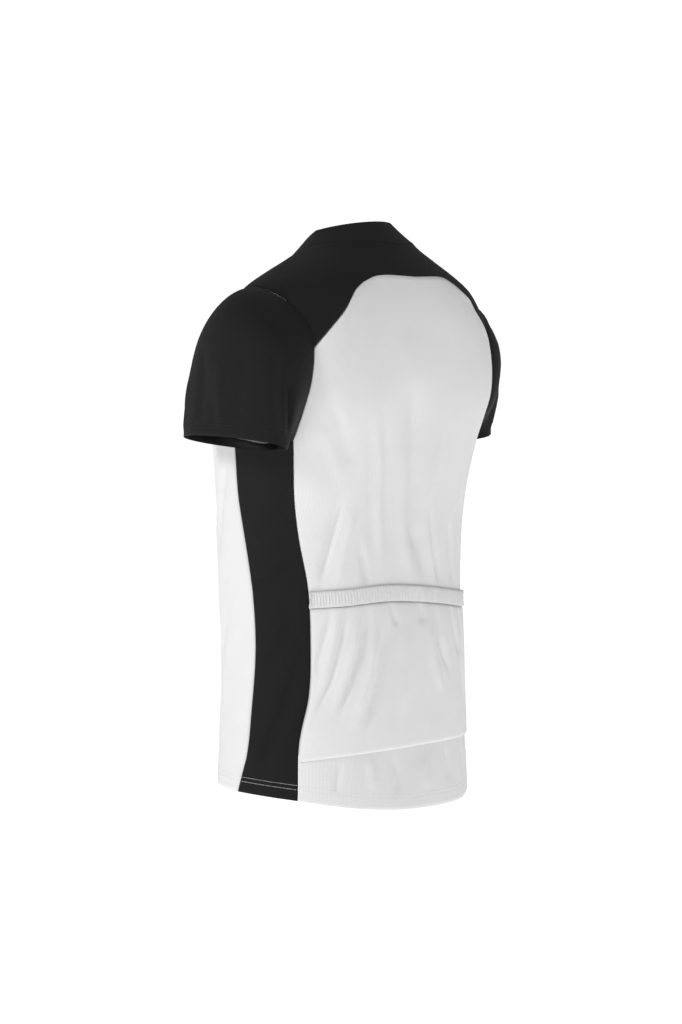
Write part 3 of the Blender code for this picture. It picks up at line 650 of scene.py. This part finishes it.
def linear(colour):
    """An sRGB hex colour as linear red, green, blue and alpha."""
    parts = [int(colour[i:i + 2], 16) / 255 for i in (0, 2, 4)]
    return tuple(p / 12.92 if p <= 0.04045 else ((p + 0.055) / 1.055) ** 2.4 for p in parts) + (1.0,)


def add_node(tree, kind, settings=None, links=None):
    """Add a node, set its sockets or its own settings by name, and link sockets to its inputs."""
    node = tree.nodes.new(kind)
    for key, value in (settings or {}).items():
        if isinstance(key, int) or key in node.inputs:
            node.inputs[key].default_value = value
        else:
            setattr(node, key, value)
    for socket, source in (links or {}).items():
        tree.links.new(source, node.inputs[socket])
    return node


def new_object(name, mesh):
    obj = bpy.data.objects.new(name, mesh)
    bpy.context.scene.collection.objects.link(obj)
    return obj


def make_sheet(name, grid, material, wall, closed=False):
    """A thin shell on a grid of points in millimetres, with its cut laid out as a UV map."""
    rows, columns = grid.shape[:2]
    mesh = bpy.data.meshes.new(name)
    index = np.arange(rows * columns).reshape(rows, columns)
    if closed:
        index = np.hstack([index, index[:, :1]])
    quads = np.stack([index[:-1, :-1], index[:-1, 1:], index[1:, 1:], index[1:, :-1]], -1)
    quads = quads.reshape(-1, 4)
    mesh.from_pydata((grid.reshape(-1, 3) * MM).tolist(), [], quads.tolist())
    mesh.polygons.foreach_set("use_smooth", np.ones(len(quads), bool))
    spread = np.concatenate([grid, grid[:, :1]], 1) if closed else grid
    across = np.linalg.norm(np.diff(spread, axis=1), axis=2).mean(axis=0)
    along = np.linalg.norm(np.diff(spread, axis=0), axis=2).mean(axis=1)
    u, v = np.concatenate([[0], np.cumsum(across)]), np.concatenate([[0], np.cumsum(along)])
    flat = np.stack(np.meshgrid(u, v), -1) * MM
    corners = np.stack([flat[:-1, :-1], flat[:-1, 1:], flat[1:, 1:], flat[1:, :-1]], 2)
    mesh.uv_layers.new(name="cut").data.foreach_set("uv", corners.reshape(-1).astype(np.float32))
    mesh.materials.append(material)
    obj = new_object(name, mesh)
    shell = obj.modifiers.new("wall", "SOLIDIFY")
    shell.thickness, shell.offset = wall, -1.0
    return obj


def declare(obj, node):
    """Parent the finished piece to the jersey's body, so that it moves with it, and hide the model part it
    stands for.
    """
    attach(obj, "jersey")
    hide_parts(node)


# ---- materials -----------------------------------------------------------------------------

ONE_BAND = 0.314         # at this scale a wave has one band for each unit
# ribs in metres; the real ones are 0.5 to 0.8 mm and are drawn coarser so that they show
RIB_BODY, RIB_POCKET, RIB_BLACK, RIB_ELASTIC, RIB_TAPE = 0.0016, 0.0013, 0.0014, 0.0011, 0.0010
RIB_HEIGHT = 0.0003

def new_material(name):
    material = bpy.data.materials.new(name)
    material.use_nodes = True
    material.node_tree.nodes.clear()
    return material, material.node_tree


def knit_material(name, colour, rib, depth, roughness, sheen):
    """Knitted or woven yarn: upright ribs crossed by courses, with a soft uneven tone and painted shade a
    little darker in the grooves between the ribs.
    """
    material, tree = new_material(name)
    cut = add_node(tree, "ShaderNodeUVMap", {"uv_map": "cut"})
    # the map is the flat cut in metres, so one band of the wave is one rib wide
    wide = add_node(tree, "ShaderNodeMapping", {"Scale": (1 / rib, 0.35 / rib, 1)},
                    {"Vector": cut.outputs["UV"]})
    ribs = add_node(tree, "ShaderNodeTexWave", {"bands_direction": "X", "Scale": ONE_BAND,
                    "Distortion": 0.6, "Detail": 1.0, "Detail Scale": 2.0},
                    {"Vector": wide.outputs["Vector"]})
    courses = add_node(tree, "ShaderNodeTexWave", {"bands_direction": "Y", "Scale": 0.7,
                       "Distortion": 0.8, "Detail": 1.0}, {"Vector": wide.outputs["Vector"]})
    weave = add_node(tree, "ShaderNodeMath", {"operation": "MULTIPLY_ADD", 1: 0.35},
                     {0: courses.outputs["Fac"], 2: ribs.outputs["Fac"]})
    uneven = add_node(tree, "ShaderNodeTexNoise", {"Scale": 38.0, "Detail": 3.0},
                      {"Vector": cut.outputs["UV"]})
    tone = add_node(tree, "ShaderNodeMath", {"operation": "MULTIPLY_ADD", 1: 0.05, 2: 0.965},
                    {0: uneven.outputs["Fac"]})
    # colour factor: the yarn's random uneven tone plus painted shade, 3% darker in the grooves between the
    # ribs
    tone_and_groove_shade = add_node(tree, "ShaderNodeMath", {"operation": "MULTIPLY_ADD", 1: 0.03},
                     {0: ribs.outputs["Fac"], 2: tone.outputs["Value"]})
    mixed = add_node(tree, "ShaderNodeVectorMath", {"operation": "SCALE", 0: colour[:3]},
                     {"Scale": tone_and_groove_shade.outputs["Value"]})
    bump = add_node(tree, "ShaderNodeBump", {"Strength": depth, "Distance": RIB_HEIGHT},
                    {"Height": weave.outputs["Value"]})
    surface = add_node(tree, "ShaderNodeBsdfPrincipled",
                       {"Roughness": roughness, "Sheen Weight": sheen, "Sheen Roughness": 0.5,
                        "Specular IOR Level": 0.2},
                       {"Base Color": mixed.outputs["Vector"], "Normal": bump.outputs["Normal"]})
    add_node(tree, "ShaderNodeOutputMaterial", None, {"Surface": surface.outputs["BSDF"]})
    return material


def plain_material(name, colour, roughness, metallic=0.0, grain=0.0):
    """One tone whose roughness varies with a faint grain."""
    material, tree = new_material(name)
    place = add_node(tree, "ShaderNodeTexCoord")
    noise = add_node(tree, "ShaderNodeTexNoise", {"Scale": 420.0, "Detail": 2.0},
                     {"Vector": place.outputs["Object"]})
    rough = add_node(tree, "ShaderNodeMath", {"operation": "MULTIPLY_ADD", 1: grain, 2: roughness},
                     {0: noise.outputs["Fac"]})
    surface = add_node(tree, "ShaderNodeBsdfPrincipled", {"Base Color": colour, "Metallic": metallic},
                       {"Roughness": rough.outputs["Value"]})
    add_node(tree, "ShaderNodeOutputMaterial", None, {"Surface": surface.outputs["BSDF"]})
    return material


def material(kind):
    """Each material is made once and then shared."""
    c = colours()
    made = {
        # body cloth: white polyester interlock with a fine upright rib
        "white": ("knitted_white_polyester",
                  lambda n: knit_material(n, c.white, RIB_BODY, 0.5, 0.72, 0.12)),
        # pocket: the same yarn in a slightly lighter, finer mesh
        "pocket": ("knitted_white_polyester_mesh",
                   lambda n: knit_material(n, c.pocket, RIB_POCKET, 0.6, 0.75, 0.12)),
        # yoke, sleeves, sides and collar: dyed black polyester, a closer knit with little sheen
        "black": ("knitted_black_polyester",
                  lambda n: knit_material(n, c.black, RIB_BLACK, 0.6, 0.72, 0.02)),
        # elastic casing: woven ribs drawn together over the rubber
        "elastic": ("woven_white_elastic",
                    lambda n: knit_material(n, c.elastic, RIB_ELASTIC, 0.8, 0.8, 0.1)),
        # zip tape: woven polyester with a plain weave
        "tape": ("woven_white_zip_tape", lambda n: knit_material(n, c.tape, RIB_TAPE, 0.7, 0.8, 0.0)),
        # coil: moulded nylon filament, smooth and slightly glossy
        "coil": ("moulded_white_nylon", lambda n: plain_material(n, c.tape, 0.35, 0.0, 0.06)),
        # slider and tab: die-cast zinc, nickel plated and satin
        "metal": ("plated_zinc_satin", lambda n: plain_material(n, c.metal, 0.26, 1.0, 0.12)),
        # sewing thread: spun polyester, matt with a faint fuzz; black on the cuffs, white on the hem
        "white_thread": ("spun_white_thread", lambda n: plain_material(n, c.white, 0.6, 0.0, 0.1)),
        "black_thread": ("spun_black_thread", lambda n: plain_material(n, c.black, 0.55, 0.0, 0.1)),
    }
    name, make = made[kind]
    return bpy.data.materials.get(name) or make(name)


# ---- what repeats: stitches and zip coils -----------------------------------------------------

def repeat_tree():
    """Node group that sets one oblong bead after another along a line, with a fixed seed."""
    tree = bpy.data.node_groups.get("beads_along_a_line")
    if tree:
        return tree
    tree = bpy.data.node_groups.new("beads_along_a_line", "GeometryNodeTree")
    face = tree.interface
    face.new_socket("Geometry", in_out="INPUT", socket_type="NodeSocketGeometry")
    for name in ("Spacing", "Length", "Width", "Height"):
        face.new_socket(name, in_out="INPUT", socket_type="NodeSocketFloat")
    face.new_socket("Unevenness", in_out="INPUT", socket_type="NodeSocketFloat")
    face.new_socket("Seed", in_out="INPUT", socket_type="NodeSocketInt")
    face.new_socket("Material", in_out="INPUT", socket_type="NodeSocketMaterial")
    face.new_socket("Geometry", in_out="OUTPUT", socket_type="NodeSocketGeometry")
    given = add_node(tree, "NodeGroupInput")
    curve = add_node(tree, "GeometryNodeMeshToCurve", None, {"Mesh": given.outputs["Geometry"]})
    spaced = add_node(tree, "GeometryNodeResampleCurve", {"mode": "LENGTH"},
                      {"Curve": curve.outputs["Curve"], "Length": given.outputs["Spacing"]})
    bead = add_node(tree, "GeometryNodeMeshUVSphere", {"Segments": 6, "Rings": 5, "Radius": 0.5})
    size = add_node(tree, "ShaderNodeCombineXYZ", None,
                    {"X": given.outputs["Width"], "Y": given.outputs["Height"],
                     "Z": given.outputs["Length"]})
    tangent = add_node(tree, "GeometryNodeInputTangent")
    along = add_node(tree, "FunctionNodeAlignRotationToVector", {"axis": "Z"},
                     {"Vector": tangent.outputs["Tangent"]})
    upright = add_node(tree, "FunctionNodeAlignRotationToVector",
                       {"axis": "X", "pivot_axis": "Z", "Vector": (1.0, 0.0, 0.0)},
                       {"Rotation": along.outputs["Rotation"]})
    least = add_node(tree, "ShaderNodeMath", {"operation": "SUBTRACT", 0: 1.0},
                     {1: given.outputs["Unevenness"]})
    varied = add_node(tree, "FunctionNodeRandomValue", {"data_type": "FLOAT"},
                      {"Seed": given.outputs["Seed"]})
    tree.links.new(least.outputs["Value"], varied.inputs[2])
    varied.inputs[3].default_value = 1.0
    factor = add_node(tree, "ShaderNodeVectorMath", {"operation": "SCALE"},
                      {0: size.outputs["Vector"], "Scale": varied.outputs[1]})
    placed = add_node(tree, "GeometryNodeInstanceOnPoints", None,
                      {"Points": spaced.outputs["Curve"], "Instance": bead.outputs["Mesh"],
                       "Rotation": upright.outputs["Rotation"], "Scale": factor.outputs["Vector"]})
    smooth_beads = add_node(tree, "GeometryNodeSetShadeSmooth", None,
                            {"Geometry": placed.outputs["Instances"]})
    real = add_node(tree, "GeometryNodeRealizeInstances", None,
                    {"Geometry": smooth_beads.outputs["Geometry"]})
    painted = add_node(tree, "GeometryNodeSetMaterial", None,
                       {"Geometry": real.outputs["Geometry"], "Material": given.outputs["Material"]})
    add_node(tree, "NodeGroupOutput", None, {"Geometry": painted.outputs["Geometry"]})
    return tree


def line_mesh(name, lines):
    """Loose polylines in millimetres as one mesh of edges."""
    points = np.concatenate(lines)
    edges, first = [], 0
    for row in lines:
        edges += [(first + i, first + i + 1) for i in range(len(row) - 1)]
        first += len(row)
    mesh = bpy.data.meshes.new(name)
    mesh.from_pydata((points * MM).tolist(), edges, [])
    return mesh


def make_beads(name, lines, spacing, length, width, height, uneven, seed, kind):
    """Beads along lines, turned into a plain mesh."""
    source = new_object(name + "_line", line_mesh(name + "_line", lines))
    modifier = source.modifiers.new("beads", "NODES")
    tree = repeat_tree()
    modifier.node_group = tree
    values = {"Spacing": spacing, "Length": length, "Width": width, "Height": height,
              "Unevenness": uneven, "Seed": seed, "Material": material(kind)}
    for item in tree.interface.items_tree:
        if item.in_out == "INPUT" and item.name in values:
            modifier[item.identifier] = values[item.name]
    graph = bpy.context.evaluated_depsgraph_get()
    graph.update()
    mesh = bpy.data.meshes.new_from_object(source.evaluated_get(graph), depsgraph=graph)
    source.modifiers.remove(modifier)
    bpy.data.objects.remove(source)
    if not mesh.polygons:
        raise RuntimeError(f"{name}: the line gave no beads")
    mesh.name = name
    if not mesh.materials:
        mesh.materials.append(material(kind))
    return new_object(name, mesh)


def stitch_rows(name, lines, kind, seed):
    s = stitching()
    obj = make_beads(name, lines, s.spacing, s.length, s.thread, s.thread, STITCH_UNEVEN, seed, kind)
    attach(obj, "jersey")
    return obj


# ---- sizes and colours that a user would change -------------------------------------------------

class JerseyCloth(bpy.types.PropertyGroup):
    """Walls and gaps of the cloth."""
    wall: FloatProperty(name="Cloth wall", description="Wall of the knitted panels",
                        default=0.0012, unit="LENGTH", precision=4)
    pocket_wall: FloatProperty(name="Pocket wall", description="Wall of the pocket's mesh",
                               default=0.0010, unit="LENGTH", precision=4)
    band_wall: FloatProperty(name="Band wall", description="Wall of the elastic casing",
                             default=0.0018, unit="LENGTH", precision=4)
    seam_gap: FloatProperty(name="Seam gap", description="Gap between two pieces at a seam",
                            default=0.0007, unit="LENGTH", precision=4)


class JerseyColours(bpy.types.PropertyGroup):
    """Colours of the cloth, the thread and the zip."""
    white: FloatVectorProperty(name="White cloth", description="Body panels", size=4,
                               subtype="COLOR", default=linear("ECECEC"))
    pocket: FloatVectorProperty(name="Pocket cloth", description="Pocket mesh", size=4,
                                subtype="COLOR", default=linear("F0EFEF"))
    black: FloatVectorProperty(name="Black cloth", description="Yoke, sleeves, sides and collar",
                               size=4, subtype="COLOR", default=linear("171617"))
    elastic: FloatVectorProperty(name="Elastic", description="Band along the pocket mouth", size=4,
                                 subtype="COLOR", default=linear("EFEEEF"))
    tape: FloatVectorProperty(name="Zip tape", description="Tape and coil of the zip", size=4,
                              subtype="COLOR", default=linear("E4E4E6"))
    metal: FloatVectorProperty(name="Zip metal", description="Slider and pull tab", size=4,
                               subtype="COLOR", default=linear("B4B4B6"))


class JerseyStitching(bpy.types.PropertyGroup):
    """Coverstitch along the hem and the cuffs."""
    spacing: FloatProperty(name="Stitch spacing", description="From one stitch to the next",
                           default=0.0030, unit="LENGTH", precision=4)
    length: FloatProperty(name="Stitch length", description="Length of one stitch that shows",
                          default=0.0026, unit="LENGTH", precision=4)
    thread: FloatProperty(name="Thread", description="Thickness of the thread",
                          default=0.0005, unit="LENGTH", precision=4)
    seed: IntProperty(name="Seed", description="Fixed seed of the stitches' unevenness", default=7)


# ---- operators: one for each piece or group -----------------------------------------------------

class JERSEY_OT_back(bpy.types.Operator):
    """Add the back panel"""
    bl_idname = "jersey.back"
    bl_label = "Back panel"

    def execute(self, context):
        places = back_places()
        half_gap = seam_gap() / 2
        grid = pull_in(worn_cloth(places), 0, YOKE_GAP / 2, half_gap, half_gap)
        back = make_sheet("back_panel", grid, material("white"), cloth().wall)
        declare(back, "back")
        return {"FINISHED"}


class JERSEY_OT_pocket(bpy.types.Operator):
    """Add the pocket across the lower back and the elastic along its mouth"""
    bl_idname = "jersey.pocket"
    bl_label = "Pocket and band"

    def execute(self, context):
        gap = seam_gap()
        grid = pull_in(pocket_grid(), 0, gap / 2, gap, gap)
        pocket = make_sheet("pocket_panel", grid, material("pocket"), cloth().pocket_wall)
        declare(pocket, "pocket")
        grid = pull_in(band_grid(), gap / 2, 0, gap, gap)
        band = make_sheet("pocket_elastic", grid, material("elastic"), cloth().band_wall)
        declare(band, "pocket_band")
        return {"FINISHED"}


class JERSEY_OT_sides(bpy.types.Operator):
    """Add the two side panels"""
    bl_idname = "jersey.sides"
    bl_label = "Side panels"

    def execute(self, context):
        half_gap = seam_gap() / 2
        for node, side in (("side_left", +1), ("side_right", -1)):
            seam_front, seam_back = front_seam(side), back_seam(side)
            low = hem_edge(side, seam_front[0, 0], seam_back[0, 0], SPAN_UNDERARM)
            places = fill(low, through(UNDERARM, SPAN_UNDERARM), seam_front, seam_back)
            grid = pull_in(worn_cloth(to_side(side, places)), 0, seam_gap(), half_gap, half_gap)
            panel = make_sheet(node + "_panel", grid, material("black"), cloth().wall)
            declare(panel, node)
        return {"FINISHED"}


class JERSEY_OT_fronts(bpy.types.Operator):
    """Add the two fronts"""
    bl_idname = "jersey.fronts"
    bl_label = "Fronts"

    def execute(self, context):
        for node, side in (("front_left", +1), ("front_right", -1)):
            edges = (ZIP_SPACING / 2, seam_gap() / 2)
            start, end = edges if side > 0 else edges[::-1]
            grid = pull_in(front_grid(side), 0, YOKE_GAP / 2, start, end)
            front = make_sheet(node + "_panel", grid, material("white"), cloth().wall)
            declare(front, node)
        return {"FINISHED"}


class JERSEY_OT_yoke(bpy.types.Operator):
    """Add the yoke over both shoulders and across the back of the neck"""
    bl_idname = "jersey.yoke"
    bl_label = "Yoke"

    def execute(self, context):
        half = np.vstack([through(ARM_OVER, SPAN_ARM_OVER)[::-1],
                          through(YOKE_BACK, SPAN_YOKE_BACK)[1:]])
        outer = np.vstack([half, mirror(half)[1:]])
        inner = neck_seam()[SPAN_NECK_FRONT:-SPAN_NECK_FRONT]
        start = through(YOKE_FRONT, SPAN_YOKE_FRONT)
        end = start.copy()
        end[:, 0] = 180 - end[:, 0]
        edge = YOKE_GAP / 2
        grid = pull_in(worn_cloth(fill(outer, inner, start, end)), edge, seam_gap() / 2, edge, edge)
        yoke = make_sheet("yoke_panel", grid, material("black"), cloth().wall)
        declare(yoke, "yoke")
        return {"FINISHED"}


class JERSEY_OT_sleeves(bpy.types.Operator):
    """Add the two sleeves with the coverstitch of their turned cuffs"""
    bl_idname = "jersey.sleeves"
    bl_label = "Sleeves"

    def execute(self, context):
        for node, cuff in zip(("sleeve_left", "sleeve_right"), CUFFS):
            grid = folded_sleeve(cuff)
            sleeve = make_sheet(node + "_cloth", grid, material("black"), cloth().wall, closed=True)
            declare(sleeve, node)
            out = surface_normals(grid, closed=True)
            lines = []
            for depth in (CUFF_TURN, CUFF_TURN - ROW_SPACING):
                row = [walk(grid[::-1, j] + out[::-1, j] * STITCH_LIFT, depth) for j in range(grid.shape[1])]
                lines.append(np.array(row + row[:1]))
            stitch_rows(node + "_stitches", lines, "black_thread", stitching().seed)
        return {"FINISHED"}


class JERSEY_OT_collar(bpy.types.Operator):
    """Add the stand collar, open at the zip"""
    bl_idname = "jersey.collar"
    bl_label = "Collar"

    def execute(self, context):
        zip_edge = ZIP_SPACING / 2
        grid = pull_in(collar_grid(), seam_gap() / 2, 0, zip_edge, zip_edge)
        collar = make_sheet("collar_band", grid, material("black"), cloth().wall)
        declare(collar, "collar")
        return {"FINISHED"}


class JERSEY_OT_hem(bpy.types.Operator):
    """Add the two rows of coverstitch above the hem"""
    bl_idname = "jersey.hem"
    bl_label = "Hem stitches"

    def execute(self, context):
        turns = np.linspace(*HEM_TURNS, HEM_POINTS)
        lines = []
        for depth in (HEM_TURN, HEM_TURN - ROW_SPACING):
            places = np.stack([turns, line(HEM, turns) + depth], -1)
            lines.append(worn_cloth(places[None], STITCH_LIFT)[0])
        stitch_rows("hem_stitches", lines, "white_thread", stitching().seed + 1)
        return {"FINISHED"}


class JERSEY_OT_zip(bpy.types.Operator):
    """Add the zip: two tapes and the coil; the slider and its tab are the solid parts"""
    bl_idname = "jersey.zip"
    bl_label = "Zip"

    def execute(self, context):
        for node, side in (("zip_tape_left", +1), ("zip_tape_right", -1)):
            lift = -(cloth().wall / MM + TAPE_CLEAR)
            edges = [zip_line(aside, lift) for aside in np.linspace(ZIP_GAP, TAPE_WIDTH, TAPE_STRIPS)]
            if side < 0:
                edges = [flip(edge) for edge in reversed(edges)]
            grid = pull_in(np.stack(edges, 1), ZIP_END, ZIP_END)
            tape = make_sheet(node + "_weave", grid, material("tape"), TAPE_WALL * MM)
            declare(tape, node)
        lines = []
        for side in (+1, -1):
            row = zip_line(COIL_ASIDE, -COIL_SINK)
            row = row if side > 0 else flip(row)
            length = np.linalg.norm(np.diff(row, axis=0), axis=1).sum()
            shift = 0.0 if side > 0 else COIL_PITCH / 2
            steps = np.arange(ZIP_END + shift, length - ZIP_END, COIL_STEP)
            lines.append(np.array([walk(row, step) for step in steps]))
        coil = make_beads("zip_coil_rows", lines, COIL_PITCH * MM, COIL_LENGTH * MM, COIL_WIDTH * MM,
                          COIL_HEIGHT * MM, 0.0, 1, "coil")
        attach(coil, "jersey")
        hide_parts("zip_chain")
        for node in ("zip_slider", "zip_pull_tab"):
            bpy.data.objects[node].material_slots[0].material = material("metal")
        return {"FINISHED"}


class JERSEY_OT_stage(bpy.types.Operator):
    """Add the pale floor, the soft studio light and the camera"""
    bl_idname = "jersey.stage"
    bl_label = "Stage"

    def execute(self, context):
        scene = context.scene
        mesh = bpy.data.meshes.new("floor")
        mesh.from_pydata([(-12, -12, FLOOR), (12, -12, FLOOR), (12, 12, FLOOR), (-12, 12, FLOOR)],
                         [], [(0, 1, 2, 3)])
        floor = new_object("floor", mesh)
        # painted board: matt white, lit evenly so that it stays pale out to its far edge
        paint, tree = new_material("painted_white_board")
        surface = add_node(tree, "ShaderNodeBsdfPrincipled",
                           {"Base Color": linear("F7F7F7"), "Roughness": 0.95,
                            "Emission Color": (1.0, 1.0, 1.0, 1.0), "Emission Strength": 0.8})
        add_node(tree, "ShaderNodeOutputMaterial", None, {"Surface": surface.outputs["BSDF"]})
        mesh.materials.append(paint)
        world = bpy.data.worlds.new("studio")
        scene.world = world
        world.use_nodes = True
        tree = world.node_tree
        tree.nodes.clear()
        seen = add_node(tree, "ShaderNodeBackground", {"Color": (1, 1, 1, 1), "Strength": 1.05})
        glow = add_node(tree, "ShaderNodeBackground", {"Color": (1, 1, 1, 1), "Strength": WORLD_GLOW})
        path = add_node(tree, "ShaderNodeLightPath")
        both = add_node(tree, "ShaderNodeMixShader", None,
                        {0: path.outputs["Is Camera Ray"], 1: glow.outputs["Background"],
                         2: seen.outputs["Background"]})
        add_node(tree, "ShaderNodeOutputWorld", None, {"Surface": both.outputs["Shader"]})
        for name, place, size, power in LIGHTS:
            lamp = bpy.data.lights.new(name, "AREA")
            lamp.shape, lamp.size, lamp.energy = "DISK", size, power
            softbox = new_object(name, lamp)
            softbox.location = place
            softbox.rotation_euler = (Vector(AIM) - Vector(place)).to_track_quat("-Z", "Y").to_euler()
        view = bpy.data.cameras.new("camera")
        view.lens, view.sensor_width = LENS, 36.0
        camera = new_object("camera", view)
        azimuth, rise = np.radians(CAMERA_TURN), np.radians(CAMERA_RISE)
        way = Vector((np.sin(azimuth) * np.cos(rise), -np.cos(azimuth) * np.cos(rise), np.sin(rise)))
        camera.location = Vector(AIM) + way * CAMERA_DISTANCE
        camera.rotation_euler = (-way).to_track_quat("-Z", "Y").to_euler()
        scene.camera = camera
        scene.view_settings.view_transform = "Standard"
        return {"FINISHED"}


class JERSEY_PT_panel(bpy.types.Panel):
    """Sizes and buttons of the jersey, in the 3D view's sidebar"""
    bl_label = "Cycling jersey"
    bl_space_type = "VIEW_3D"
    bl_region_type = "UI"
    bl_category = "Jersey"

    def draw(self, context):
        for group in (cloth(), colours(), stitching()):
            for name in group.__annotations__:
                self.layout.prop(group, name)
        for operator in OPERATORS:
            self.layout.operator(operator.bl_idname)


OPERATORS = (JERSEY_OT_back, JERSEY_OT_pocket, JERSEY_OT_sides, JERSEY_OT_fronts, JERSEY_OT_yoke,
             JERSEY_OT_sleeves, JERSEY_OT_collar, JERSEY_OT_hem, JERSEY_OT_zip, JERSEY_OT_stage)
GROUPS = {"jersey_cloth": JerseyCloth, "jersey_colours": JerseyColours,
          "jersey_stitching": JerseyStitching}


def register():
    for name, group in GROUPS.items():
        bpy.utils.register_class(group)
        setattr(bpy.types.Scene, name, PointerProperty(type=group))
    for cls in OPERATORS + (JERSEY_PT_panel,):
        bpy.utils.register_class(cls)


def unregister():
    for cls in reversed(OPERATORS + (JERSEY_PT_panel,)):
        bpy.utils.unregister_class(cls)
    for name, group in reversed(list(GROUPS.items())):
        delattr(bpy.types.Scene, name)
        bpy.utils.unregister_class(group)


def main():
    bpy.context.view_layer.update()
    register()
    bpy.ops.jersey.back()
    bpy.ops.jersey.pocket()
    bpy.ops.jersey.sides()
    bpy.ops.jersey.fronts()
    bpy.ops.jersey.yoke()
    bpy.ops.jersey.sleeves()
    bpy.ops.jersey.collar()
    bpy.ops.jersey.hem()
    bpy.ops.jersey.zip()
    bpy.ops.jersey.stage()


if __name__ == "__main__":
    main()
